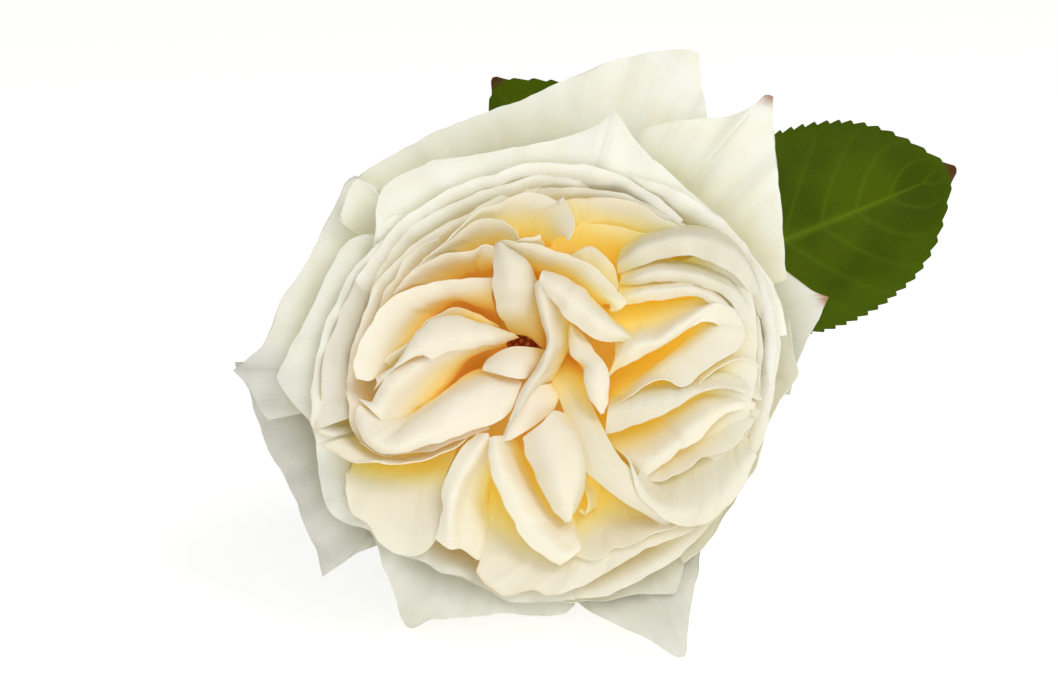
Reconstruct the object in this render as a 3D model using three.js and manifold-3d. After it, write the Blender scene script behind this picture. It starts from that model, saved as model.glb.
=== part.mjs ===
// White ohara garden rose, cut and lying on a flat surface. Millimetres, +Z up.
// The bloom faces -Y and a little up, and the stem runs back along +Y down to the surface.
import * as THREE from 'three';
import Module from 'manifold-3d';

const wasm = await Module();
wasm.setup();

// Driving sizes
const PETAL_THICKNESS = 0.8;
const OUTER_COLUMNS = 12;
const CUP_COLUMNS = 7;
const INNER_COLUMN_LENGTH = 8.6;
const SEPAL_THICKNESS = 0.9;
const LEAF_THICKNESS = 0.7;
const GAP = 0.3;
const SMALLEST_DETAIL = 0.03;
const STEM_LENGTH = 206;
const STEM_RADIUS = 2.9;
const HIP_HEIGHT = 13;
const HIP_RADIUS = 6.4;
const GOLDEN_TURN = 2.4;
const LOOK_UP = THREE.MathUtils.degToRad(14);
const PLACE = new THREE.Vector3(-16.7, -74.0, 50.45);

// Bloom frame: u to the right, v up and w out of the face, with its origin where the petals grow.
// Outlines are points [x, y, depth]: x and y in picture units as the face is seen, depth in mm along w.
const PICTURE_UNIT = 0.1865;
const VIEW_DISTANCE = 650;
const RIM_DEPTH = 40;
const AXIS_X = 529;
const AXIS_Y = 350;

function seen([x, y, depth]) {
  const scale = (PICTURE_UNIT * (VIEW_DISTANCE - depth + RIM_DEPTH)) / VIEW_DISTANCE;
  return new THREE.Vector3((x - AXIS_X) * scale, (AXIS_Y - y) * scale, depth);
}

// Curves and solids

// The value that pairs [place, value] give at a place, on straight lines between them.
function between(pairs, place) {
  let i = 0;
  while (i < pairs.length - 2 && place > pairs[i + 1][0]) i++;
  const [nearPlace, nearValue] = pairs[i];
  const [farPlace, farValue] = pairs[i + 1];
  return THREE.MathUtils.mapLinear(place, nearPlace, farPlace, nearValue, farValue);
}

// How far along its length each point of a row lies, from 0 to 1.
function knotsOf(points) {
  const knots = [0];
  for (let i = 1; i < points.length; i++) {
    knots.push(knots[i - 1] + Math.max(points[i].distanceTo(points[i - 1]), 1e-3));
  }
  return knots.map((k) => k / knots[knots.length - 1]);
}

// A smooth curve through points at the fraction s of its length, by cubic pieces.
function along(points, knots, s) {
  let i = 0;
  while (i < points.length - 2 && s > knots[i + 1]) i++;
  const slope = (k) => {
    const a = Math.max(k - 1, 0);
    const b = Math.min(k + 1, points.length - 1);
    return points[b].clone().sub(points[a]).divideScalar(knots[b] - knots[a]);
  };
  const span = knots[i + 1] - knots[i];
  const t = (s - knots[i]) / span;
  const curve = points[i].clone().multiplyScalar(2 * t ** 3 - 3 * t ** 2 + 1);
  curve.addScaledVector(slope(i), span * (t ** 3 - 2 * t ** 2 + t));
  curve.addScaledVector(points[i + 1], 3 * t ** 2 - 2 * t ** 3);
  return curve.addScaledVector(slope(i + 1), span * (t ** 3 - t ** 2));
}

function manifoldOf(vertices, triangles) {
  return new wasm.Manifold(new wasm.Mesh({
    numProp: 3,
    vertProperties: new Float32Array(vertices.flatMap((v) => [v.x, v.y, v.z])),
    triVerts: new Uint32Array(triangles),
  }));
}

// A closed solid of triangles, which are turned over where they face inwards.
function solidFrom(vertices, triangles) {
  const made = manifoldOf(vertices, triangles);
  if (made.volume() > 0) return made;
  const turnedOver = [];
  for (let i = 0; i < triangles.length; i += 3) {
    turnedOver.push(triangles[i], triangles[i + 2], triangles[i + 1]);
  }
  return manifoldOf(vertices, turnedOver);
}

// A closed blade of even thickness about a grid of points, split alike on both faces.
function blade(grid, thickness) {
  const rows = grid.length;
  const cols = grid[0].length;
  const front = [];
  const back = [];
  for (let i = 0; i < rows; i++) {
    for (let j = 0; j < cols; j++) {
      const du = grid[Math.min(i + 1, rows - 1)][j].clone().sub(grid[Math.max(i - 1, 0)][j]);
      const dv = grid[i][Math.min(j + 1, cols - 1)].clone().sub(grid[i][Math.max(j - 1, 0)]);
      const normal = du.cross(dv).normalize().multiplyScalar(thickness / 2);
      front.push(grid[i][j].clone().add(normal));
      back.push(grid[i][j].clone().sub(normal));
    }
  }
  const at = (i, j) => i * cols + j;
  const other = rows * cols;
  const triangles = [];
  for (let i = 0; i + 1 < rows; i++) {
    for (let j = 0; j + 1 < cols; j++) {
      const a = at(i, j);
      const b = at(i + 1, j);
      const c = at(i + 1, j + 1);
      const d = at(i, j + 1);
      triangles.push(a, b, c, a, c, d);
      triangles.push(a + other, c + other, b + other, a + other, d + other, c + other);
    }
  }
  const rim = [];
  for (let i = 0; i + 1 < rows; i++) rim.push(at(i, 0));
  for (let j = 0; j + 1 < cols; j++) rim.push(at(rows - 1, j));
  for (let i = rows - 1; i > 0; i--) rim.push(at(i, cols - 1));
  for (let j = cols - 1; j > 0; j--) rim.push(at(0, j));
  rim.forEach((a, k) => {
    const b = rim[(k + 1) % rim.length];
    triangles.push(b, a, a + other, b, a + other, b + other);
  });
  return solidFrom([...front, ...back], triangles);
}

// A closed tube along points, with a radius at each.
function tube(points, radii, sides) {
  const rings = [];
  let side = new THREE.Vector3(1, 0, 0);
  points.forEach((p, i) => {
    const before = points[Math.max(i - 1, 0)];
    const after = points[Math.min(i + 1, points.length - 1)];
    const way = after.clone().sub(before).normalize();
    side = side.clone().addScaledVector(way, -side.dot(way)).normalize();
    const up = way.clone().cross(side);
    for (let k = 0; k < sides; k++) {
      const angle = (2 * Math.PI * k) / sides;
      rings.push(p.clone().addScaledVector(side, radii[i] * Math.cos(angle))
        .addScaledVector(up, radii[i] * Math.sin(angle)));
    }
  });
  const triangles = [];
  for (let i = 0; i + 1 < points.length; i++) {
    for (let k = 0; k < sides; k++) {
      const a = i * sides + k;
      const b = i * sides + ((k + 1) % sides);
      triangles.push(a, b, b + sides, a, b + sides, a + sides);
    }
  }
  const last = (points.length - 1) * sides;
  rings.push(points[0].clone(), points[points.length - 1].clone());
  for (let k = 0; k < sides; k++) {
    const next = (k + 1) % sides;
    triangles.push(rings.length - 2, next, k, rings.length - 1, last + k, last + next);
  }
  return solidFrom(rings, triangles);
}

function union(solids) {
  return solids.reduce((sum, solid) => sum.add(solid));
}

// The largest body alone: loose scraps go and sealed hollows are filled.
function largest(solid) {
  return solid.decompose().sort((a, b) => b.volume() - a.volume())[0];
}

function oneBody(solid) {
  return largest(largest(solid).simplify(SMALLEST_DETAIL));
}

// Petals

const CENTRE = [540, 368];
const ROOT_DEPTH = 21;
const ROOT_PULL = 0.6;
const ROOT_NARROW = 0.7;

// The cup's rim as an oval; a petal's place is measured from its middle, 1 at the rim.
const CUP_MIDDLE = [546, 378];
const CUP_HALF = [235, 217];

// The dish that a layer of outer petals lies on: depth in mm at such places.
const OUTER_DISH = [[0, 1.4], [0.25, 1.6], [0.5, 3], [0.8, 8], [0.95, 15], [1, 18], [1.1, 24], [1.25, 29],
  [1.4, 30.5], [1.7, 29]];
const MIDDLE_DISH = [[0, 3], [0.25, 4], [0.5, 6.5], [0.8, 14], [0.94, 25], [1, 31], [1.05, 35], [1.12, 37.3],
  [1.4, 38.5]];

// An outer petal has a row of points at each of these shares of the way from the middle to its edge.
const DISH_STEPS = [0.16, 0.5, 0.78, 0.92, 1];
const SHIFT_FULL_AT = 0.8;
const DROOP_OVER = 0.3;

// Shares of the rim's distance and height that a cup petal passes on its way up.
const CUP_STEPS = [[0.2, 0.12], [0.5, 0.2], [0.8, 0.41], [0.95, 0.72], [1, 1]];
const CUP_HEIGHT = 0.95;

function dishDepth(dish, x, y, shift, droop) {
  const place = Math.hypot((x - CUP_MIDDLE[0]) / CUP_HALF[0], (y - CUP_MIDDLE[1]) / CUP_HALF[1]);
  const past = Math.max(place - 1, 0) / DROOP_OVER;
  return between(dish, place) + shift * Math.min(place / SHIFT_FULL_AT, 1) - droop * past ** 2;
}

// Outer petals: dish, how far in mm the petal lies off it and droops past the rim, and its edge.
const OUTER_PETALS = [
  ['top_back', OUTER_DISH, -3, 0,
    [[345, 182], [356, 178], [375, 165], [440, 130], [520, 100], [565, 80], [610, 62], [640, 54],
      [668, 50], [698, 53], [702, 82], [707, 118], [716, 160]]],
  ['upper_right', OUTER_DISH, 0, 0,
    [[628, 150], [640, 131], [672, 122], [710, 118], [742, 112], [756, 104], [765, 95], [773, 97],
      [773, 118], [776, 155], [780, 195], [784, 240], [787, 280]]],
  ['right', OUTER_DISH, -3, 2,
    [[765, 235], [775, 258], [788, 272], [803, 284], [816, 293], [829, 297], [824, 309],
      [813, 330], [801, 350], [795, 372], [790, 395]]],
  ['lower_right', OUTER_DISH, 4, 2,
    [[790, 320], [794, 350], [797, 373], [790, 386], [775, 411], [760, 450], [744, 487],
      [722, 519], [703, 547], [685, 565]]],
  ['bottom_right', OUTER_DISH, -1, 3,
    [[712, 520], [702, 548], [698, 580], [693, 612], [687, 655], [678, 654], [650, 641],
      [620, 626], [590, 611], [572, 601], [558, 596]]],
  ['bottom_right_inner', OUTER_DISH, 4, 5,
    [[690, 545], [684, 562], [676, 592], [660, 594], [632, 596], [605, 599], [575, 602], [550, 602]]],
  ['bottom', OUTER_DISH, 1.5, 30.5,
    [[368, 520], [377, 545], [385, 570], [395, 598], [404, 621], [412, 626], [432, 621],
      [470, 616], [500, 614], [532, 615], [566, 614], [574, 604], [580, 590]]],
  ['lower_left', OUTER_DISH, -1.5, 9,
    [[236, 362], [248, 390], [257, 420], [270, 450], [300, 510], [312, 541], [318, 562],
      [324, 575], [340, 565], [360, 552], [378, 543], [392, 532]]],
  ['left', OUTER_DISH, 1, 6,
    [[356, 176], [345, 184], [333, 208], [311, 254], [290, 286], [278, 308], [271, 327],
      [261, 346], [249, 357], [234, 370], [247, 383], [256, 402], [268, 420]]],
  ['left_fold', OUTER_DISH, 4, 0,
    [[338, 220], [346, 196], [357, 178], [371, 184], [380, 195], [380, 216], [378, 240]]],
  ['left_inner', MIDDLE_DISH, -2, 3,
    [[385, 236], [362, 235], [345, 243], [330, 270], [310, 310], [291, 349], [276, 376],
      [289, 398], [308, 421], [318, 446]]],
  ['lower_left_inner', OUTER_DISH, 6, 0,
    [[306, 405], [316, 440], [319, 480], [328, 508], [348, 524], [370, 531],
      [382, 546], [430, 566], [442, 573], [463, 577], [503, 600], [540, 603], [575, 600]]],
  ['top_front', MIDDLE_DISH, 0, 0,
    [[374, 246], [376, 212], [384, 187], [405, 172], [430, 163], [470, 155], [520, 147],
      [560, 138], [590, 129], [605, 119], [613, 109], [625, 126], [645, 150], [680, 183],
      [720, 217], [760, 265], [780, 300], [787, 335]]],
  ['top_left_inner', MIDDLE_DISH, 3, 0,
    [[372, 262], [376, 240], [381, 225], [391, 216], [407, 212], [430, 208], [460, 200]]],
];

// Cup petals: the rim as seen, with its depth.
const CUP_PETALS = [
  ['left_rim',
    [[334, 437, 42], [322, 434, 43], [312, 428, 44], [310, 405, 45], [313, 380, 45], [319, 347, 45.5],
      [330, 312, 45.5], [345, 283, 45.5], [362, 260, 45.5], [382, 238, 45]]],
  ['top_rim',
    [[333, 340, 44], [350, 292, 45], [375, 252, 45.5], [402, 220, 46], [440, 194, 46.5],
      [480, 178, 46.5], [519, 165, 47], [555, 163, 47], [593, 164, 46.5], [622, 169, 46],
      [645, 178, 45.5], [680, 196, 45]]],
  ['right_rim',
    [[600, 168, 44], [640, 177, 45.5], [672, 188, 46.5], [700, 204, 47], [722, 220, 47],
      [746, 246, 47], [766, 280, 47], [777, 310, 47], [781, 340, 46.5], [777, 372, 46],
      [774, 402, 45.5], [766, 430, 45], [755, 457, 44], [743, 487, 43], [722, 510, 41]]],
  ['lower_right_rim',
    [[748, 470, 41], [730, 500, 41], [715, 519, 41], [700, 537, 41], [682, 553, 40.5],
      [652, 574, 40], [626, 587, 39.5], [600, 597, 39], [572, 599, 38]]],
  ['top_second',
    [[340, 425, 40], [338, 390, 42], [343, 360, 43], [352, 325, 44], [366, 290, 44.5],
      [385, 258, 45], [412, 227, 45], [448, 205, 45], [482, 192, 45], [516, 180, 45.5],
      [548, 174, 45.5], [575, 178, 45.5], [600, 188, 45], [625, 192, 44.5]]],
  ['top_third',
    [[515, 196, 41], [535, 188, 43], [562, 185, 44.5], [590, 188, 44.8], [612, 190, 45],
      [632, 197, 45], [656, 208, 45], [685, 218, 45], [704, 232, 45], [722, 252, 45],
      [738, 280, 45], [746, 310, 44.5]]],
  ['left_third',
    [[362, 447, 39], [352, 430, 41], [348, 405, 43], [348, 380, 44], [354, 350, 44.5],
      [364, 320, 45], [376, 292, 45.5], [392, 268, 45.5], [414, 252, 45.5], [440, 236, 45.5],
      [466, 217, 45], [490, 205, 44]]],
];

// Petals of the rosette: rows of points from the deep side to the free edge.
const INNER_PETALS = [
  ['wavy_top', [
    [[470, 245, 34], [500, 243, 32], [530, 241, 32], [558, 243, 34]],
    [[452, 243, 41], [480, 224, 38.5], [520, 213, 38], [550, 215, 39], [564, 236, 41]],
    [[432, 252, 46], [455, 233, 47], [478, 212, 46.5], [505, 199, 46], [532, 193, 46],
      [552, 199, 47], [561, 203, 48], [563, 196, 48], [569, 206, 48.5], [575, 220, 48.5],
      [574, 230, 48], [568, 239, 47.5], [572, 250, 46.5]]]],
  ['top_left_gray', [
    [[455, 264, 36], [485, 260, 35], [514, 252, 36]],
    [[438, 256, 43], [470, 240, 41], [500, 236, 41], [517, 244, 42]],
    [[414, 264, 46], [440, 243, 47], [458, 229, 47], [478, 220, 46.5], [500, 219, 46],
      [513, 226, 45.5], [519, 241, 45]]]],
  ['top_left_bright', [
    [[440, 288, 36], [470, 280, 34], [493, 283, 33]],
    [[415, 282, 42.5], [442, 269, 41], [468, 263, 39.5], [490, 267, 38]],
    [[396, 288, 45.5], [405, 276, 46], [420, 264, 46.5], [442, 255, 47], [464, 250, 47],
      [482, 246, 47.3], [494, 248, 47], [492, 262, 45.5]]]],
  ['left_arc', [
    [[384, 373, 41], [402, 350, 39], [420, 325, 36], [440, 309, 34], [462, 301, 33],
      [482, 310, 32], [500, 324, 31]],
    [[370, 381, 44.5], [378, 355, 43.5], [392, 330, 42.5], [410, 312, 41.5], [432, 300, 40],
      [460, 293, 38.5], [492, 297, 37]],
    [[357, 379, 45], [354, 362, 46], [362, 338, 46.5], [375, 316, 46.5], [392, 298, 46.5],
      [415, 287, 46], [445, 281, 45.5], [470, 277, 45], [494, 279, 44]]]],
  ['left_second', [
    [[394, 372, 38], [412, 354, 37], [430, 338, 36], [447, 330, 35.5], [467, 327, 35], [500, 336, 34]],
    [[390, 366, 43], [408, 349, 43.5], [424, 334, 43.5], [440, 325, 43], [462, 321, 42],
      [490, 328, 39]],
    [[384, 362, 45.5], [402, 348, 46.3], [418, 332, 46.3], [431, 322, 46], [446, 315, 45.3],
      [463, 311, 44.5], [482, 317, 43], [501, 328, 40.5]]]],
  ['left_white', [
    [[380, 378, 41], [398, 366, 42], [411, 352, 43], [423, 340, 43], [438, 332, 42.5],
      [458, 329, 41.5], [484, 330, 40], [510, 334, 37]],
    [[376, 378, 44], [394, 366, 46], [407, 350, 47], [419, 337, 47.3], [433, 328, 47],
      [456, 325, 46.5], [482, 327, 44.5], [510, 332, 40]],
    [[377, 382, 44.5], [394, 369, 46.8], [411, 354, 47.8], [428, 342, 48.3], [450, 337, 48],
      [478, 336, 46.5], [514, 334, 40.5]],
    [[374, 390, 43.5], [390, 374, 45.5], [408, 359, 46.7], [424, 353, 47], [432, 358, 47],
      [442, 355, 46.7], [460, 351, 46], [482, 346, 44], [520, 338, 38.5]]]],
  ['left_band', [
    [[394, 431, 41], [412, 412, 38.5], [432, 395, 37], [448, 379, 35.5], [462, 364, 34],
      [478, 352, 33], [506, 346, 31]],
    [[380, 417, 43.5], [397, 395, 42.5], [418, 378, 41.5], [438, 365, 40.5], [458, 357, 39],
      [480, 350, 37], [507, 343, 34]],
    [[358, 398, 44.5], [371, 404, 45], [379, 386, 44.8], [395, 371, 44.3], [415, 358, 43.8],
      [435, 350, 43], [458, 347, 41.8], [482, 343, 39.5], [508, 338, 36.5]]]],
  ['left_pillow', [
    [[399, 428, 41], [420, 409, 39.5], [440, 396, 38.5], [455, 384, 37.5], [466, 375, 37],
      [479, 370, 36.5], [495, 374, 37]],
    [[362, 406, 44.5], [378, 419, 45], [395, 432, 45.5], [425, 414, 46.3], [455, 395, 46.8],
      [485, 383, 46], [521, 381, 43]],
    [[357, 412, 44.3], [368, 435, 46], [392, 446, 47], [425, 434, 47.8], [460, 417, 48],
      [490, 404, 47], [517, 396, 45]],
    [[356, 420, 42.5], [364, 443, 44], [384, 456, 44.8], [415, 452, 45.3], [450, 441, 46],
      [480, 431, 46], [500, 420, 45.5], [512, 408, 44.8]]]],
  ['left_pillow_lip', [
    [[365, 430, 38], [385, 445, 40], [412, 443, 41], [445, 432, 42], [480, 420, 42]],
    [[360, 443, 43], [381, 459, 43.6], [410, 458, 44], [445, 448, 44.5], [475, 437, 45],
      [490, 430, 45]]]],
  ['left_shell', [
    [[358, 436, 34], [372, 447, 33], [392, 452, 33], [418, 450, 34], [445, 442, 35], [466, 434, 36]],
    [[338, 437, 42.5], [352, 447, 42.5], [370, 456, 42.8], [390, 460, 43], [417, 457, 43],
      [443, 449, 43], [465, 439, 43]],
    [[321, 445, 44], [335, 453, 44.5], [349, 461, 45], [370, 463, 45.5], [389, 465, 45.5],
      [412, 461, 45.5], [436, 456, 45.5], [455, 448, 45.3], [468, 439, 45]]]],
  ['lower_left_fan', [
    [[395, 445, 29], [430, 440, 28], [462, 430, 29]],
    [[362, 463, 34], [400, 463, 33], [430, 462, 33], [456, 452, 33]],
    [[348, 486, 38], [385, 488, 38], [415, 490, 38], [444, 482, 38]],
    [[346, 468, 38], [346, 492, 40], [351, 512, 41], [366, 523, 41.5], [376, 540, 41.5],
      [391, 552, 41.3], [411, 555, 41.3], [427, 551, 41.3], [436, 540, 41], [440, 515, 41]]]],
  ['lower_left_ridge', [
    [[494, 462, 37], [484, 485, 36], [481, 505, 37], [484, 530, 38.5], [481, 553, 39.5]],
    [[488, 448, 43.5], [477, 472, 42], [468, 495, 41.5], [463, 520, 41.8], [462, 546, 42.3]],
    [[488, 431, 46.3], [471, 450, 45.8], [458, 470, 45.3], [450, 492, 44.6], [445, 515, 43.8],
      [444, 543, 43.3]],
    [[477, 432, 44.5], [462, 446, 44.2], [450, 463, 43.8], [443, 486, 43], [438, 511, 42.5],
      [433, 535, 42]]]],
  ['bottom_long', [
    [[516, 440, 36], [525, 463, 35.5], [537, 486, 35.5], [548, 506, 36.5], [561, 521, 38.5],
      [572, 529, 40.5], [581, 545, 42]],
    [[504, 436, 43.5], [511, 459, 42.5], [523, 483, 42.3], [537, 506, 42], [551, 526, 42],
      [564, 541, 42.5], [577, 553, 42.8]],
    [[494, 436, 47], [497, 456, 47], [507, 481, 46.6], [519, 506, 46], [534, 529, 45],
      [551, 548, 44.2], [570, 559, 43]],
    [[487, 438, 46], [489, 456, 46], [495, 481, 45.6], [505, 506, 45], [518, 531, 44.2],
      [536, 550, 43.3], [560, 566, 42.3]]]],
  ['bottom_tongue', [
    [[575, 420, 38], [585, 443, 39], [586, 465, 39], [583, 490, 39], [575, 511, 40]],
    [[554, 411, 45], [569, 430, 46], [578, 450, 46.2], [581, 470, 46], [578, 490, 45.3],
      [573, 512, 44]],
    [[541, 424, 47], [547, 445, 48], [554, 465, 48.2], [560, 485, 47.6], [565, 502, 46],
      [570, 521, 43.5]],
    [[524, 437, 44.5], [526, 455, 44], [533, 473, 43.6], [543, 492, 43.4], [553, 508, 43.3],
      [566, 522, 42.8]]]],
  ['small_tongue', [
    [[590, 470, 33], [598, 485, 33], [598, 505, 34]],
    [[578, 476, 38], [584, 488, 39], [588, 501, 39.5], [585, 513, 39.5], [577, 509, 39]]]],
  ['bottom_fan', [
    [[495, 470, 30], [530, 462, 28], [575, 458, 28], [620, 470, 30], [655, 490, 33]],
    [[488, 510, 35], [530, 518, 33.5], [575, 505, 33], [620, 506, 35], [662, 520, 38]],
    [[485, 543, 38.5], [520, 560, 39], [560, 566, 39.5], [600, 552, 40], [640, 538, 40.5],
      [680, 525, 41.5]],
    [[486, 536, 38.5], [480, 556, 39.7], [476, 573, 40.5], [487, 584, 41], [503, 595, 41.2],
      [533, 591, 41.2], [549, 595, 41.2], [575, 589, 41.2], [600, 577, 41.2], [621, 563, 41.4],
      [642, 552, 41.8], [667, 541, 42.3], [697, 527, 43]]]],
  ['lower_right_bowl', [
    [[645, 452, 36], [665, 458, 36], [688, 452, 37], [708, 437, 39], [728, 420, 41]],
    [[640, 470, 41.5], [660, 485, 41], [683, 482, 41.5], [704, 468, 42], [724, 456, 42.7],
      [746, 436, 43.5]],
    [[635, 478, 45], [655, 500, 45], [682, 508, 45], [708, 500, 45.3], [730, 480, 45.8],
      [752, 450, 46]],
    [[629, 453, 44.5], [632, 479, 45.5], [643, 501, 45.5], [664, 518, 45.3], [689, 527, 44.8],
      [709, 522, 45], [726, 507, 45.5], [744, 484, 46], [757, 456, 46.2]]]],
  ['lower_right_inner', [
    [[650, 458, 37], [672, 447, 37], [695, 435, 38.5], [716, 420, 40.5]],
    [[646, 477, 41.5], [660, 482, 42.7], [680, 473, 43.2], [693, 466, 43.7], [699, 457, 44.2],
      [716, 454, 44.6], [735, 443, 45.3], [754, 420, 46]]]],
  ['right_fourth', [
    [[603, 430, 34], [625, 426, 33.5], [650, 416, 33.5], [677, 402, 35]],
    [[613, 446, 38.5], [636, 441, 39], [662, 430, 40], [686, 411, 41], [704, 400, 42.5]],
    [[621, 456, 42], [644, 459, 43.2], [668, 448, 44], [690, 429, 44.6], [712, 410, 45.3]],
    [[629, 458, 41.5], [642, 474, 42.3], [655, 467, 42.8], [670, 457, 43.2], [684, 446, 43.6],
      [702, 436, 44.2], [718, 420, 45], [738, 400, 45.8]]]],
  ['right_third', [
    [[613, 396, 37], [640, 387, 38.5], [670, 384, 40], [697, 376, 41.5], [722, 362, 43]],
    [[608, 408, 43.3], [630, 402, 44.4], [655, 397, 45], [680, 392, 45.3], [702, 384, 45.6],
      [724, 373, 46], [746, 360, 46.4]],
    [[605, 434, 42.5], [620, 430, 43.5], [640, 424, 44.2], [658, 416, 44.7], [671, 410, 45],
      [684, 401, 45.2], [700, 391, 45.5], [716, 387, 45.9], [742, 380, 46.4]]]],
  ['right_second', [
    [[608, 404, 37.5], [615, 390, 36], [640, 374, 35], [662, 358, 35], [680, 342, 36], [699, 324, 38]],
    [[613, 405, 41], [637, 384, 41.5], [667, 361, 42.5], [696, 344, 43.5], [722, 326, 44.8]],
    [[612, 406, 43], [634, 394, 44.6], [648, 385, 45.6], [660, 380, 46], [671, 381, 46],
      [681, 385, 45.8], [690, 383, 46], [702, 373, 46.3], [720, 361, 46.4], [735, 353, 46.6],
      [744, 341, 46.8]]]],
  ['right_first', [
    [[606, 309, 35], [630, 305, 34], [660, 303, 35.5], [690, 300, 38], [715, 296, 41]],
    [[612, 322, 37], [636, 323, 38.5], [666, 318, 40.5], [700, 307, 42.7]],
    [[615, 355, 43], [626, 347, 44.8], [640, 342, 46], [661, 338, 46.5], [678, 327, 46.5],
      [705, 316, 46.5], [723, 301, 46.8]],
    [[607, 378, 41.5], [622, 371, 42.8], [638, 364, 43.8], [655, 353, 44.5], [672, 342, 45],
      [688, 329, 45.2], [704, 320, 45.6]]]],
  ['upper_right_third', [
    [[620, 281, 36], [650, 280, 36], [680, 279, 38], [706, 284, 40.5]],
    [[622, 296, 42.5], [650, 290, 44.3], [676, 287, 45], [698, 289, 45.5], [717, 297, 46]],
    [[622, 303, 41], [650, 302, 42.6], [678, 298, 43.6], [700, 294, 44.6], [718, 300, 45.6]]]],
  ['upper_right_second', [
    [[620, 263, 37], [650, 261, 37], [685, 263, 38.5], [716, 271, 41]],
    [[620, 280, 42], [640, 274, 44.2], [661, 271, 45], [690, 272, 45.5], [718, 279, 46],
      [742, 294, 46.5]],
    [[618, 285, 40.8], [645, 282, 42.6], [675, 281, 43.6], [700, 284, 44.5], [722, 291, 45.4],
      [740, 302, 46]]]],
  ['upper_right_wide', [
    [[622, 247, 36], [650, 232, 37], [690, 227, 39.5], [722, 236, 42]],
    [[616, 268, 42.5], [632, 252, 45], [660, 240, 46.3], [690, 236, 46.6], [716, 241, 46.8],
      [741, 258, 47], [757, 284, 47]],
    [[617, 273, 41], [640, 264, 43], [665, 259, 44], [692, 258, 45], [718, 265, 45.7],
      [738, 280, 46.2], [750, 300, 46.5]]]],
  ['upper_right_yellow', [
    [[582, 262, 31], [610, 264, 31], [638, 256, 33]],
    [[570, 224, 38.5], [600, 224, 39.3], [630, 229, 40.5], [662, 239, 43]]]],
  ['fold_behind', [
    [[580, 264, 40], [596, 276, 40], [613, 293, 40]],
    [[572, 254, 45], [582, 248, 46.3], [592, 246, 46.6], [601, 250, 46.4], [608, 259, 45.8],
      [614, 272, 45], [619, 288, 43.5]]]],
  ['fold_top', [
    [[504, 248, 43], [521, 259, 41.5], [541, 268, 40], [560, 277, 39], [580, 290, 38.5],
      [600, 306, 38.5]],
    [[500, 243, 47], [520, 249, 46], [545, 256, 45.5], [568, 262, 45.7], [590, 278, 45.3],
      [608, 297, 44]],
    [[499, 241, 48], [515, 242, 47.7], [535, 245, 47.2], [556, 251, 47.6], [573, 255, 48.3],
      [592, 267, 48], [610, 283, 47], [620, 294, 45.6], [628, 303, 44.3], [613, 311, 43.4]]]],
  ['heart_left', [
    [[512, 254, 42], [531, 273, 40.5], [541, 292, 38], [545, 318, 35], [545, 338, 33]],
    [[503, 244, 47.5], [524, 261, 47.5], [532, 281, 46], [535, 304, 42], [539, 326, 37.5],
      [543, 348, 34]],
    [[499, 242, 48.7], [509, 262, 49.3], [513, 285, 48.3], [515, 305, 45], [519, 322, 40],
      [528, 336, 35]],
    [[496, 243, 47.5], [494, 265, 47], [493, 285, 46], [496, 306, 43.5], [503, 322, 39.5],
      [511, 333, 35.5]]]],
  ['heart_strip', [
    [[556, 293, 42], [564, 306, 40], [570, 322, 38], [570, 342, 37], [560, 364, 37.5],
      [550, 382, 38.5]],
    [[547, 289, 45.5], [556, 304, 44], [563, 322, 42], [564, 342, 41], [554, 360, 41.5],
      [545, 378, 42.3],
      [533, 393, 43]],
    [[540, 280, 47.8], [543, 300, 47], [547, 318, 46], [551, 338, 45], [549, 356, 44.8], [538, 376, 45],
      [527, 394, 45.6], [517, 416, 46.5]],
    [[534, 284, 46], [538, 301, 45], [541, 317, 44], [545, 336, 43.2], [544, 354, 43.2],
      [532, 373, 43.8],
      [521, 393, 44.8], [511, 416, 46], [503, 440, 46.3]]]],
  ['heart_fold', [
    [[556, 277, 41], [576, 288, 40], [593, 301, 39], [611, 319, 38.5], [627, 333, 38.5]],
    [[543, 271, 47.5], [563, 278, 47.5], [581, 291, 46.7], [600, 309, 45.3], [620, 328, 44],
      [638, 341, 42.5]],
    [[540, 277, 49], [558, 290, 49.7], [578, 304, 49], [598, 318, 48], [618, 331, 46], [638, 342, 43]],
    [[541, 286, 46.5], [553, 304, 46.5], [570, 321, 46], [584, 331, 45.7], [594, 338, 45.3],
      [618, 342, 44], [639, 343, 42.3]]]],
  ['heart_round', [
    [[545, 350, 37], [542, 364, 39], [530, 376, 40]],
    [[528, 347, 42], [523, 360, 45], [522, 379, 46]],
    [[511, 347, 43], [506, 360, 45.7], [508, 377, 46.6]],
    [[498, 352, 43], [494, 362, 45], [497, 374, 45.7]],
    [[488, 359, 42.5], [483, 365, 43.2], [481, 370, 43.3]]]],
  ['heart_hanging', [
    [[574, 345, 36], [588, 375, 37], [597, 398, 38]],
    [[569, 324, 41], [571, 353, 43], [586, 364, 45], [585, 378, 46], [590, 397, 46], [600, 415, 45]],
    [[571, 326, 42.5], [582, 350, 45], [594, 365, 47.3], [596, 382, 48.2], [600, 400, 47.2],
      [603, 414, 45.2]],
    [[571, 321, 41], [588, 341, 43.5], [600, 357, 45.5], [607, 369, 46.5], [607, 388, 46.5],
      [609, 404, 45.5],
      [605, 414, 44.8]]]],
  ['diagonal', [
    [[546, 370, 34], [565, 358, 32.5], [585, 372, 34]],
    [[557, 393, 39.5], [573, 395, 40.5], [591, 403, 40]],
    [[572, 430, 43], [590, 430, 44.3], [608, 434, 43]],
    [[580, 466, 43.5], [600, 463, 46], [618, 457, 44.8]],
    [[601, 484, 43.8], [616, 481, 46], [631, 470, 45]],
    [[625, 503, 43.3], [636, 498, 44.8], [646, 492, 44]],
    [[648, 521, 41.8], [657, 516, 42.6], [668, 512, 42.4]]]],
  ['small_white', [
    [[550, 384, 40.5], [558, 395, 40.5], [554, 408, 41.5]],
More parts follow.
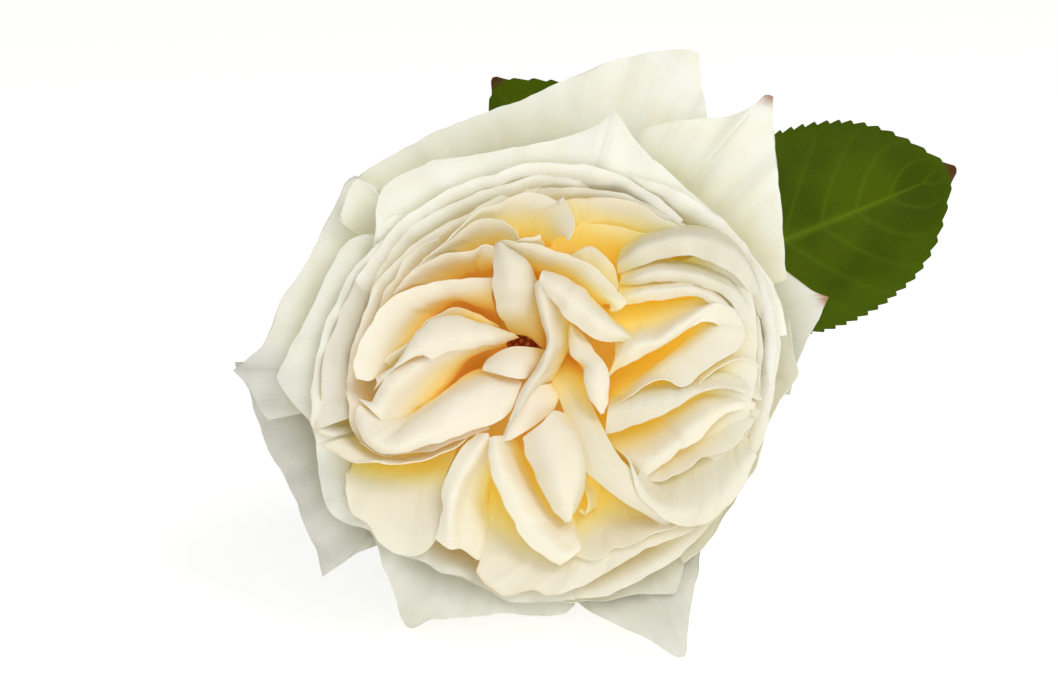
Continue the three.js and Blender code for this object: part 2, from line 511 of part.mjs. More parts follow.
    [[528, 390, 43.3], [538, 402, 44.3], [535, 425, 44.3]],
    [[513, 412, 44], [515, 425, 45], [512, 439, 44.5]],
    [[507, 428, 44], [505, 434, 44.3], [502, 442, 44.3]]]],
];

// The core that the petals stand out of: depth and radius.
const CORE = [[0.3, 0], [0.3, 5.5], [2.2, 13], [5.5, 21], [11, 27], [20, 30], [28, 30], [32, 26],
  [33, 14], [27, 5.5], [27, 0]];
const CORE_SIDES = 12;

// The pocket at the heart that the stamens stand in.
const HEART = [525, 344];
const POCKET_FLOOR = 26.5;
const POCKET_TOP = 34;
const POCKET_RADIUS = 4.2;
const POCKET_SIDES = 12;

// The depth at which a place on the face is read for an axis through it.
const AXIS_DEPTH = 20;

// Every row of points in mm, read at the last row's own points, or at even shares if they are fewer.
function rowGrid(rows, columns) {
  const last = rows[rows.length - 1];
  const lastKnots = knotsOf(last);
  const even = Array.from({ length: columns + 1 }, (_, k) => k / columns);
  const shares = last.length > columns + 1 ? even : lastKnots;
  return shares.map((s) => rows.map((row) => {
    const knots = row.length === last.length ? lastKnots : knotsOf(row);
    return along(row, knots, s);
  }));
}

function outerPetal([, dish, shift, droop, edge]) {
  const rows = DISH_STEPS.map((step) => edge.map(([x, y]) => {
    const flat = [CENTRE[0] + (x - CENTRE[0]) * step, CENTRE[1] + (y - CENTRE[1]) * step];
    return seen([...flat, dishDepth(dish, ...flat, shift, droop)]);
  }));
  return blade(rowGrid(rows, OUTER_COLUMNS), PETAL_THICKNESS);
}

function cupPetal([, rim]) {
  const rows = CUP_STEPS.map(([out, up]) => rim.map(([x, y, depth]) => {
    const flat = [CENTRE[0] + (x - CENTRE[0]) * out, CENTRE[1] + (y - CENTRE[1]) * out];
    return seen([...flat, depth * up * CUP_HEIGHT]);
  }));
  return blade(rowGrid(rows, CUP_COLUMNS), PETAL_THICKNESS);
}

// The hidden root of a rosette petal, drawn in towards the middle.
function rootRow(row) {
  const mean = row.reduce((sum, p) => [sum[0] + p[0] / row.length, sum[1] + p[1] / row.length], [0, 0]);
  const pulled = (value, axis) => {
    const narrowed = mean[axis] + (value - mean[axis]) * ROOT_NARROW;
    return CENTRE[axis] + (narrowed - CENTRE[axis]) * ROOT_PULL;
  };
  return row.map(([x, y]) => [pulled(x, 0), pulled(y, 1), ROOT_DEPTH]);
}

function innerPetal([, rows]) {
  const placed = [rootRow(rows[0]), ...rows].map((row) => row.map(seen));
  const edge = placed[placed.length - 1];
  const length = edge.slice(1).reduce((sum, p, i) => sum + p.distanceTo(edge[i]), 0);
  return blade(rowGrid(placed, Math.max(Math.round(length / INNER_COLUMN_LENGTH), 3)), PETAL_THICKNESS);
}

// A closed solid of rings [depth, radius] about an axis that leans from one place on the face to another.
function turned(profile, sides, low, high) {
  const span = profile[profile.length - 1][0] - profile[0][0];
  const middle = (depth) => {
    const share = span ? (depth - profile[0][0]) / span : 0;
    const x = THREE.MathUtils.lerp(low[0], high[0], share);
    const y = THREE.MathUtils.lerp(low[1], high[1], share);
    return seen([x, y, AXIS_DEPTH]).setZ(depth);
  };
  const vertices = profile.flatMap(([depth, radius]) => Array.from({ length: sides }, (_, k) => {
    const angle = (2 * Math.PI * k) / sides;
    return middle(depth).add(new THREE.Vector3(radius * Math.cos(angle), radius * Math.sin(angle), 0));
  }));
  vertices.push(middle(profile[0][0]), middle(profile[profile.length - 1][0]));
  const triangles = [];
  const top = (profile.length - 1) * sides;
  for (let k = 0; k < sides; k++) {
    const next = (k + 1) % sides;
    for (let i = 0; i < top; i += sides) {
      triangles.push(i + k, i + next, i + next + sides, i + k, i + next + sides, i + k + sides);
    }
    triangles.push(vertices.length - 2, next, k, vertices.length - 1, top + k, top + next);
  }
  return solidFrom(vertices, triangles);
}

// Cut flat what reaches below the surface that the rose lies on.
function restOnSurface(solid) {
  return solid.trimByPlane([0, Math.cos(LOOK_UP), Math.sin(LOOK_UP)], -PLACE.z);
}

function petals() {
  const pocketWall = [[POCKET_FLOOR, POCKET_RADIUS], [POCKET_TOP, POCKET_RADIUS]];
  const pocket = turned(pocketWall, POCKET_SIDES, HEART, HEART);
  const bloom = union([
    turned(CORE, CORE_SIDES, CENTRE, HEART),
    ...OUTER_PETALS.map(outerPetal),
    ...CUP_PETALS.map(cupPetal),
    ...INNER_PETALS.map(innerPetal),
  ]);
  return oneBody(restOnSurface(bloom.subtract(pocket)));
}

// Stamens

const STAMEN_COUNT = 9;
const STAMEN_RING = 2.7;
const STAMEN_TOP = 32;
const STAMEN_STEP = 0.25;
const STAMEN_HEIGHTS = 4;
const STAMEN_BASE = [[0, 3.5], [1, 3.3]];
const STAMEN_BASE_SIDES = 12;
const FILAMENT_RADII = [0.35, 0.33];
const FILAMENT_SIDES = 4;
const FILAMENT_ROOT = 0.5;
const FILAMENT_LEAN = 0.8;
const ANTHER_RADII = [0.4, 0.75, 0.4];
const ANTHER_LENGTH = 1.5;
const ANTHER_SIDES = 5;

function stamen(k, floor) {
  const angle = k * GOLDEN_TURN;
  const reach = STAMEN_RING * Math.sqrt((k + 0.5) / STAMEN_COUNT);
  const way = new THREE.Vector3(Math.cos(angle), Math.sin(angle), 0);
  const at = (out, depth) => seen([...HEART, AXIS_DEPTH]).addScaledVector(way, out).setZ(depth);
  const top = STAMEN_TOP - STAMEN_STEP * (k % STAMEN_HEIGHTS);
  const low = top - ANTHER_LENGTH;
  const middle = top - ANTHER_LENGTH / 2;
  const filament = tube([at(reach * FILAMENT_LEAN, floor + FILAMENT_ROOT), at(reach, middle)],
    FILAMENT_RADII, FILAMENT_SIDES);
  const anther = tube([at(reach, low), at(reach, middle), at(reach, top)], ANTHER_RADII, ANTHER_SIDES);
  return filament.add(anther);
}

function stamens() {
  const floor = POCKET_FLOOR + GAP;
  const profile = STAMEN_BASE.map(([depth, radius]) => [floor + depth, radius]);
  const base = turned(profile, STAMEN_BASE_SIDES, HEART, HEART);
  const tuft = Array.from({ length: STAMEN_COUNT }, (_, k) => stamen(k, floor));
  return oneBody(union([base, ...tuft]));
}

// Hip and sepals

const SEPAL_COUNT = 5;
// Along a sepal: distance from the axis, depth, half width.
const SEPAL_SHAPE = [[3.5, -2.6, 2.2], [8, -2.2, 3.3], [13, -2.9, 3.7], [18, -6.5, 3.2], [21.5, -12, 2.2],
  [23, -18, 1.2], [23, -24, 0.5]];
const SEPAL_ACROSS = [-1, -0.5, 0, 0.5, 1];
const SEPAL_CUP = 0.35;
const SEPAL_START = 0.3;
const HIP_PROFILE = [[-HIP_HEIGHT, 2.7], [-HIP_HEIGHT + 2, 4.3], [-8, 6], [-5, HIP_RADIUS], [-2, 6],
  [0, 5]];
const HIP_SIDES = 20;

function hipAxis(depth) {
  return seen([...CENTRE, 0]).setZ(depth);
}

function sepal(k) {
  const angle = (2 * Math.PI * (k + SEPAL_START)) / SEPAL_COUNT;
  const out = new THREE.Vector3(Math.cos(angle), Math.sin(angle), 0);
  const side = new THREE.Vector3(-Math.sin(angle), Math.cos(angle), 0);
  const grid = SEPAL_SHAPE.map(([reach, depth, half]) => SEPAL_ACROSS.map((share) => (
    hipAxis(depth + half * SEPAL_CUP * share ** 2)
      .addScaledVector(out, reach).addScaledVector(side, share * half)
  )));
  return blade(grid, SEPAL_THICKNESS);
}

function calyx() {
  const hip = turned(HIP_PROFILE, HIP_SIDES, CENTRE, CENTRE);
  const sepals = Array.from({ length: SEPAL_COUNT }, (_, k) => sepal(k));
  return oneBody(union([hip, ...sepals]));
}

// Stem with its prickles

const STEM_PATH = [[2.2, -3.6, -HIP_HEIGHT - GAP], [3, -3.4, -45], [5, -1.4, -95], [3.4, 0.9, -150],
  [0, 2.2, -STEM_LENGTH]];
const STEM_STEPS = 22;
const STEM_SIDES = 12;
const STEM_NECK = 0.86;
const STEM_GROWTH = 0.2;

// Prickles: where the first and last stand along the stem, and their hooked form.
const PRICKLE_COUNT = 7;
const PRICKLE_FIRST = 0.2;
const PRICKLE_LAST = 0.88;
const PRICKLE_START = 0.9;
const PRICKLE_LENGTH = 5;
const PRICKLE_BEND = 0.4;
const PRICKLE_BEND_DROP = 0.65;
const PRICKLE_DROP = 2.6;
const PRICKLE_RADII = [2.1, 1, 0.3];
const PRICKLE_SIDES = 6;

function stemPoint(share) {
  const points = STEM_PATH.map((p) => new THREE.Vector3(...p));
  return along(points, knotsOf(points), share);
}

function prickle(k) {
  const share = THREE.MathUtils.lerp(PRICKLE_FIRST, PRICKLE_LAST, k / (PRICKLE_COUNT - 1));
  const angle = PRICKLE_START + k * GOLDEN_TURN;
  const out = new THREE.Vector3(Math.cos(angle), Math.sin(angle), 0);
  const down = new THREE.Vector3(0, 0, -1);
  const root = stemPoint(share).addScaledVector(out, STEM_RADIUS / 2);
  const skin = stemPoint(share).addScaledVector(out, STEM_RADIUS);
  const half = skin.clone().addScaledVector(out, PRICKLE_LENGTH * PRICKLE_BEND)
    .addScaledVector(down, PRICKLE_BEND_DROP);
  const tip = skin.clone().addScaledVector(out, PRICKLE_LENGTH).addScaledVector(down, PRICKLE_DROP);
  return tube([root, half, tip], PRICKLE_RADII, PRICKLE_SIDES);
}

function stem() {
  const points = Array.from({ length: STEM_STEPS + 1 }, (_, i) => stemPoint(i / STEM_STEPS));
  const radii = points.map((_, i) => STEM_RADIUS * (STEM_NECK + (STEM_GROWTH * i) / STEM_STEPS));
  const prickles = Array.from({ length: PRICKLE_COUNT }, (_, k) => prickle(k));
  return oneBody(restOnSurface(union([tube(points, radii, STEM_SIDES), ...prickles])));
}

// One leaf of three leaflets on its stalk

const LEAFLETS = [
  { base: [711, 268, -31], tip: [956, 169, -39], half: 20.6, teeth: 19, tilt: 0.12 },
  { base: [656, 272, -35], tip: [493, 78, -37], half: 17, teeth: 17, tilt: -0.1 },
  { base: [656, 268, -36], tip: [703, 462, -44], half: 13, teeth: 15, tilt: 0.1 },
];
const LEAF_STALK = [[8.2, -0.4, -72], [12.5, 4, -62], [19, 11, -48], [26.2, 16.6, -36],
  [38.6, 17.5, -31]];
const LEAF_STALK_RADII = [1.9, 1.2, 1.1, 1.05, 0.8];
const LEAF_STALK_SIDES = 8;
const LEAFLET_ACROSS = [-1, -0.5, 0, 0.5, 1];
const LEAFLET_FOLD = 0.16;
const LEAFLET_CURL = 0.012;
const LEAFLET_ARCH = 3.2;
const LEAFLET_ARCH_LEAN = 0.9;
const TOOTH = 0.055;
const TOOTH_LEAN = 0.35;

// Half width of a leaflet as a share of its widest, at places from its base to its tip.
const LEAFLET_WIDTHS = [[0, 0.02], [0.03, 0.3], [0.08, 0.58], [0.15, 0.82], [0.25, 0.96], [0.36, 1],
  [0.48, 0.985], [0.6, 0.92], [0.7, 0.81], [0.79, 0.64], [0.87, 0.42], [0.92, 0.25], [0.955, 0.13],
  [0.98, 0.06], [1, 0.02]];

// One line of points across a leaflet; every second line has a tooth on both edges.
function leafletLine(leafletPlace, half, share, tooth) {
  const { foot, way, side, front } = leafletPlace;
  const arch = LEAFLET_ARCH * Math.sin(Math.PI * share ** LEAFLET_ARCH_LEAN);
  const middle = foot.clone().addScaledVector(way, share).addScaledVector(front, arch);
  return LEAFLET_ACROSS.map((across) => {
    const cut = Math.abs(across) === 1 ? tooth : 0;
    const width = half * between(LEAFLET_WIDTHS, share) * across * (1 + cut);
    const lift = LEAFLET_FOLD * Math.abs(width) - LEAFLET_CURL * width ** 2;
    return middle.clone().addScaledVector(side, width).addScaledVector(way, cut * TOOTH_LEAN)
      .addScaledVector(front, lift);
  });
}

function leaflet({ base, tip, half, teeth, tilt }) {
  const foot = seen(base);
  const way = seen(tip).sub(foot);
  const side = way.clone().cross(new THREE.Vector3(0, 0, 1)).normalize();
  const front = side.clone().cross(way).normalize().addScaledVector(side, tilt).normalize();
  const steps = teeth * 2;
  const grid = [];
  for (let i = 0; i <= steps; i++) {
    grid.push(leafletLine({ foot, way, side, front }, half, i / steps, i % 2 === 1 ? TOOTH : 0));
  }
  return blade(grid, LEAF_THICKNESS);
}

function leaf() {
  const stalk = tube(LEAF_STALK.map((p) => new THREE.Vector3(...p)), LEAF_STALK_RADII, LEAF_STALK_SIDES);
  return oneBody(union([stalk, ...LEAFLETS.map(leaflet)]));
}

// Assembly

const MATERIALS = {
  petals: new THREE.MeshStandardMaterial({ color: '#f3efdc', roughness: 0.6 }),
  stamens: new THREE.MeshStandardMaterial({ color: '#a9702a', roughness: 0.7 }),
  calyx: new THREE.MeshStandardMaterial({ color: '#5f7f3a', roughness: 0.6 }),
  stem: new THREE.MeshStandardMaterial({ color: '#56783a', roughness: 0.5 }),
  leaf: new THREE.MeshStandardMaterial({ color: '#3f5f1e', roughness: 0.5 }),
};

function meshOf(name, solid) {
  const { vertProperties, triVerts } = solid.getMesh();
  const geometry = new THREE.BufferGeometry();
  geometry.setAttribute('position', new THREE.BufferAttribute(new Float32Array(vertProperties), 3));
  geometry.setIndex(new THREE.BufferAttribute(new Uint32Array(triVerts), 1));
  geometry.computeVertexNormals();
  const mesh = new THREE.Mesh(geometry, MATERIALS[name]);
  mesh.name = name;
  return mesh;
}

const rose = new THREE.Group();
rose.add(meshOf('petals', petals()), meshOf('stamens', stamens()), meshOf('calyx', calyx()));
rose.add(meshOf('stem', stem()), meshOf('leaf', leaf()));
rose.rotation.x = Math.PI / 2 - LOOK_UP;
rose.position.copy(PLACE);

export default rose;
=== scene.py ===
# White ohara garden rose, cut and lying on a flat surface, seen square to its face.
# The outlines repeat those of the solids. They are drawn in the bloom's own frame, in mm:
# u to the right, v up and w out of the face, with the origin where the petals grow.
import math

import bpy
import numpy as np
from mathutils import Matrix

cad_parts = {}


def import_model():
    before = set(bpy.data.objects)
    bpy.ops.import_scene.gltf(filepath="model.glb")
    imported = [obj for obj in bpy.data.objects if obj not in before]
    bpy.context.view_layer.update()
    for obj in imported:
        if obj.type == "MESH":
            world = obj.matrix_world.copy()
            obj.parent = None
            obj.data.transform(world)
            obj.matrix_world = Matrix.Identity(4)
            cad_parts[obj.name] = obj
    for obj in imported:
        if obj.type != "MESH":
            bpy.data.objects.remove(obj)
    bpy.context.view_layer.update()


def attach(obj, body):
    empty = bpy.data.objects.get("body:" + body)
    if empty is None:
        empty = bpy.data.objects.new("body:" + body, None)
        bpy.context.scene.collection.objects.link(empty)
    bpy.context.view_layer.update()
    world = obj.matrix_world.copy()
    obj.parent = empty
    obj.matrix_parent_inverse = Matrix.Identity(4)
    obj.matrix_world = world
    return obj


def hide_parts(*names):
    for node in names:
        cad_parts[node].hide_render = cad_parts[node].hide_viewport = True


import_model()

# A mm in metres, how far up the face looks, and where the bloom's origin lies in the part, in mm.
MM = 0.001
LOOK_UP = math.radians(14)
PLACE = np.array([-16.7, -74.0, 50.45])

# Driving sizes, in mm
PETAL_THICKNESS = 0.34
OUTER_STEP = 1.15
CUP_STEP = 1.0
INNER_STEP = 0.75
LEAF_THICKNESS = 0.35
STEM_LENGTH = 206
STEM_RADIUS = 2.9
HIP_HEIGHT = 13
HIP_RADIUS = 6.4
GAP = 0.3

# An outline point is [x, y, depth]: x and y in picture units as the face is seen, depth in mm along w.
PICTURE_UNIT = 0.1865
VIEW_DISTANCE = 650
RIM_DEPTH = 40
AXIS_X = 529
AXIS_Y = 350
PICTURE_WIDTH = 1058

# What reaches lower than this above the floor is eased up onto it.
REST_HEIGHT = 0.5

# A curve stays smooth through slight bends of its points and turns sharp at their corners; the greater
# this number, the more bends count as slight.
CORNER_SHARE = 1.3

# Each sine of a wavy line is faster by this than the one before, and their sum is divided by the other.
WAVE_PACE = 0.8
WAVE_SUM = 1.5

SEED = 11
draw = np.random.default_rng(SEED)


def seen(points):
    """Picture units and a depth, as points in mm in the bloom frame."""
    points = np.asarray(points, float)
    scale = PICTURE_UNIT * (VIEW_DISTANCE - points[..., 2] + RIM_DEPTH) / VIEW_DISTANCE
    across = (points[..., 0] - AXIS_X) * scale
    up = (AXIS_Y - points[..., 1]) * scale
    return np.stack([across, up, points[..., 2]], -1)


def set_down(points):
    """Points in mm in the bloom frame, as metres in the part's frame."""
    u, v, w = points[..., 0], points[..., 1], points[..., 2]
    sine, cosine = math.sin(LOOK_UP), math.cos(LOOK_UP)
    return (np.stack([u, v * sine - w * cosine, v * cosine + w * sine], -1) + PLACE) * MM


def rest_on_floor(points):
    height = points[:, 2] / MM
    eased = REST_HEIGHT * np.exp(np.minimum(height / REST_HEIGHT - 1, 0))
    points[:, 2] = np.where(height < REST_HEIGHT, eased, height) * MM
    return points


# Curves

def unit(vectors):
    return vectors / np.maximum(np.linalg.norm(vectors, axis=-1, keepdims=True), 1e-9)


def steps_of(points):
    return np.linalg.norm(np.diff(points, axis=0), axis=-1)


def length_of(points):
    return float(np.sum(steps_of(points)))


def summed(steps):
    return np.concatenate([[0], np.cumsum(steps)])


def knots_of(points):
    """How far along its length each point of a row lies, from 0 to 1."""
    knots = summed(np.maximum(steps_of(points), 1e-3))
    return knots / knots[-1]


def corner_ease(points):
    """1 where a row of points runs straight, down to 0 where it turns a square corner."""
    ways = unit(np.diff(points, axis=0))
    ease = np.ones(len(points))
    ease[1:-1] = np.clip(np.sum(ways[1:] * ways[:-1], axis=-1) * CORNER_SHARE, 0, 1)
    return ease


def along(points, knots, shares, ease=None):
    """A smooth curve through points, or through whole rows of them, at shares of its length."""
    shape = (-1,) + (1,) * (points.ndim - 1)
    knots = np.asarray(knots, float)
    before = np.maximum(np.arange(len(knots)) - 1, 0)
    after = np.minimum(np.arange(len(knots)) + 1, len(knots) - 1)
    slopes = (points[after] - points[before]) / (knots[after] - knots[before]).reshape(shape)
    if ease is not None:
        slopes = slopes * ease.reshape(shape)
    shares = np.clip(np.asarray(shares, float), knots[0], knots[-1])
    i = np.clip(np.searchsorted(knots, shares, side="right") - 1, 0, len(knots) - 2)
    span = (knots[i + 1] - knots[i]).reshape(shape)
    t = (shares - knots[i]).reshape(shape) / span
    rise = 3 * t**2 - 2 * t**3
    bend = span * ((t**3 - 2 * t**2 + t) * slopes[i] + (t**3 - t**2) * slopes[i + 1])
    return (1 - rise) * points[i] + rise * points[i + 1] + bend


def curve(points, shares):
    """A smooth curve through a list of points, at shares of its length."""
    points = np.array(points, float)
    return along(points, knots_of(points), shares)


def read_table(table, places):
    """The values of a table of [place, value] rows, at places between them."""
    table = np.array(table, float)
    return along(table[:, 1], table[:, 0], np.ravel(places)).reshape(np.shape(places))


def shares_between(knots, length, step):
    """Shares about a step apart that also meet every knot."""
    shares = []
    for low, high in zip(knots[:-1], knots[1:]):
        count = max(2, round((high - low) * length / step))
        shares += [low + (high - low) * k / count for k in range(count)]
    return np.array(shares + [1.0])


def smooth(low, high, value):
    """0 at low, 1 at high and an even S between them; low may be the greater of the two."""
    share = np.clip((value - low) / (high - low), 0, 1)
    return share * share * (3 - 2 * share)


def band(value, rise_from, rise_to, fall_from, fall_to):
    """1 inside a band of values and 0 outside, with a soft change at both ends."""
    return smooth(rise_from, rise_to, value) * smooth(fall_to, fall_from, value)


def waves(distance, wavelength, pieces=3):
    """A soft wavy line along a distance: a few sines with seeded starts."""
    line = 0
    for k in range(pieces):
        pace = 1 + WAVE_PACE * k
        start = draw.uniform(0, 2 * math.pi)
        line = line + np.sin(2 * math.pi * distance * pace / wavelength + start) / pace
    return line / WAVE_SUM


def ring_angles(sides):
    return np.arange(sides) * 2 * math.pi / sides


def spoke(angle):
    """The way out from an upright axis at an angle, and the way to the side of it."""
    out = np.array([math.cos(angle), math.sin(angle), 0])
    return out, np.array([-out[1], out[0], 0])


# Meshes

def linked(name, data):
    made = bpy.data.objects.new(name, data)
    bpy.context.scene.collection.objects.link(made)
    return made


def normals_of(grid):
    return unit(np.cross(np.gradient(grid, axis=0), np.gradient(grid, axis=1)))


def sharpen_lips(mesh, values):
    """Keeps the shading of a sheet's two sides apart along its thin edge."""
    ends = np.empty(len(mesh.edges) * 2, dtype=np.int32)
    mesh.edges.foreach_get("vertices", ends)
    one, other = ends.reshape(-1, 2).T
    lip, back = values["lip"], values["back"]
    sharp = (lip[one] > 0) & (lip[other] > 0) & (back[one] == back[other])
    mesh.attributes.new("sharp_edge", "BOOLEAN", "EDGE").data.foreach_set("value", sharp)


def mesh_object(name, points, faces, material, values):
    """A smooth mesh of four-sided faces with numbers at its points for the material to read."""
    mesh = bpy.data.meshes.new(name)
    mesh.vertices.add(len(points))
    mesh.vertices.foreach_set("co", points.astype(np.float32).ravel())
    mesh.loops.add(faces.size)
    mesh.loops.foreach_set("vertex_index", faces.astype(np.int32).ravel())
    mesh.polygons.add(len(faces))
    mesh.polygons.foreach_set("loop_start", np.arange(0, faces.size, 4, dtype=np.int32))
    mesh.polygons.foreach_set("use_smooth", np.ones(len(faces), dtype=bool))
    mesh.update(calc_edges=True)
    for key, value in values.items():
        attribute = mesh.attributes.new(key, "FLOAT", "POINT")
        attribute.data.foreach_set("value", value.astype(np.float32))
    sharpen_lips(mesh, values)
    mesh.validate()
    mesh.materials.append(material)
    return linked(name, mesh)


class Shape:
    """Closed sheets and tubes gathered into one mesh."""

    # The end rings of a tube are drawn in to this share of their size.
    TUBE_END = 1e-3

    def __init__(self):
        self.points = []
        self.faces = []
        self.values = {}
        self.count = 0

    def put(self, points, faces, values):
        self.points.append(points)
        self.faces.append(faces + self.count)
        self.count += len(points)
        for name, value in values.items():
            self.values.setdefault(name, []).append(np.broadcast_to(value, len(points)))

    def sheet(self, grid, thickness, **values):
        """A thin closed sheet about a grid of points, as thick as told at each of them."""
        rows, cols = grid.shape[:2]
        offset = normals_of(grid) * (np.broadcast_to(thickness, (rows, cols)) / 2)[..., None]
        at = np.arange(rows * cols).reshape(rows, cols)
        front = np.stack([at[:-1, :-1], at[1:, :-1], at[1:, 1:], at[:-1, 1:]], -1).reshape(-1, 4)
        other = rows * cols
        rim = np.concatenate([at[:-1, 0], at[-1, :-1], at[:0:-1, -1], at[0, :0:-1]])
        ahead = np.roll(rim, -1)
        sides = np.stack([ahead, rim, rim + other, ahead + other], -1)
        points = np.concatenate([(grid + offset).reshape(-1, 3), (grid - offset).reshape(-1, 3)])
        both = {k: np.tile(np.broadcast_to(v, (rows, cols)).reshape(-1), 2) for k, v in values.items()}
        both["back"] = np.repeat([0.0, 1.0], other)
        both["lip"] = np.isin(np.arange(2 * other) % other, rim).astype(float)
        self.put(points, np.concatenate([front, front[:, ::-1] + other, sides]), both)

    def tube(self, path, radii, sides, **values):
        """A tube of rings along a path, which ends in closed points."""
        side = np.array([1.0, 0.0, 0.0])
        angles = ring_angles(sides)
        radii = np.broadcast_to(np.reshape(radii, (len(path), -1)), (len(path), sides))
        rings = []
        for point, way, radius in zip(path, unit(np.gradient(path, axis=0)), radii):
            side = unit(side - way * np.dot(side, way))
            circle = np.outer(np.cos(angles), side) + np.outer(np.sin(angles), np.cross(way, side))
            rings.append(point + radius[:, None] * circle)
        first = path[0] + (rings[0] - path[0]) * self.TUBE_END
        last = path[-1] + (rings[-1] - path[-1]) * self.TUBE_END
        numbers = {k: self.ring_values(v, len(path), sides) for k, v in values.items()}
        self.rings(np.stack([first, *rings, last]), **numbers)

    @staticmethod
    def ring_values(value, rows, sides):
        """A number, or one for each ring, as a number for each point of a tube with its ends."""
        if np.ndim(value) == 1:
            value = np.reshape(value, (-1, 1))
        full = np.broadcast_to(value, (rows, sides))
        return np.concatenate([full[:1], full, full[-1:]])

    def rings(self, rings, **values):
        """A closed skin through rings of points, capped at both ends."""
        rows, sides = rings.shape[:2]
        at = np.arange(rows * sides).reshape(rows, sides)
        beside = np.roll(at, -1, axis=1)
        skin = np.stack([at[:-1], beside[:-1], beside[1:], at[1:]], -1).reshape(-1, 4)
        caps = []
        for ring, turned_over in ((at[0], True), (at[-1], False)):
            for k in range(sides // 2 - 1):
                face = [ring[k], ring[k + 1], ring[sides - 2 - k], ring[sides - 1 - k]]
                caps.append(face[::-1] if turned_over else face)
        flat = {k: np.broadcast_to(v, (rows, sides)).reshape(-1) for k, v in values.items()}
        flat["back"] = flat["lip"] = np.zeros(rows * sides)
        self.put(rings.reshape(-1, 3), np.concatenate([skin, np.array(caps)]), flat)

    def build(self, name, material):
        values = {key: np.concatenate(value) for key, value in self.values.items()}
        points = rest_on_floor(set_down(np.concatenate(self.points)))
        return mesh_object(name, points, np.concatenate(self.faces), material, values)


def keep(piece, node):
    """A finished piece stands in for its node, which it hides, and rides on the one body."""
    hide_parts(node)
    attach(piece, "root")


# Petals

# Where the outer petals and the cup grow from, and where the rosette opens, on the face.
CENTRE = [540, 368]
HEART = [525, 344]

# The hidden root of a rosette petal: its depth, how far out it stays and how wide.
ROOT_DEPTH = 21
ROOT_PULL = 0.6
ROOT_NARROW = 0.7

# The cup's rim as an oval; a petal's place is measured from its middle, 1 at the rim.
CUP_MIDDLE = [546, 378]
CUP_HALF = [235, 217]

# The dish that a layer of outer petals lies on: depth in mm at such places.
OUTER_DISH = [[0, 1.4], [0.25, 1.6], [0.5, 3], [0.8, 10], [0.93, 20], [1, 25], [1.1, 29.3], [1.2, 31],
              [1.35, 31.5], [1.5, 30.5], [1.7, 28]]
MIDDLE_DISH = [[0, 3], [0.25, 4], [0.5, 6.5], [0.8, 17], [0.86, 28], [0.89, 34], [0.92, 37.3], [0.95, 38.8],
               [0.98, 39.6], [1.03, 40], [1.1, 39.6], [1.2, 38.5], [1.4, 36]]

# The shift of a petal on its dish is whole from this place on; past the rim, its droop grows with this.
SHIFT_WHOLE = 0.8
DROOP_OVER = 0.3

# The fan of an outer petal starts at this share of the way from the middle to its edge.
FAN_START = 0.16

# The rows of points of a petal count as at least so far apart, in mm.
ROW_GAP = 0.3

# Shares of the rim's distance and height that a cup petal passes on its way up.
CUP_STEPS = [[0.2, 0.12], [0.5, 0.2], [0.76, 0.41], [0.85, 0.7], [0.89, 0.87], [0.93, 0.945],
             [0.965, 0.985], [1, 1]]
CUP_HEIGHT = 0.95

# The lid is the highest surface above each place of the face; what lies far below it is a hollow, which
# takes painted shade and painted bounced light.
LID_CELL = 1.2
LID_CELLS = 150
LID_WIDEN = 3
HOLLOW_FROM = 2
HOLLOW_TO = 13
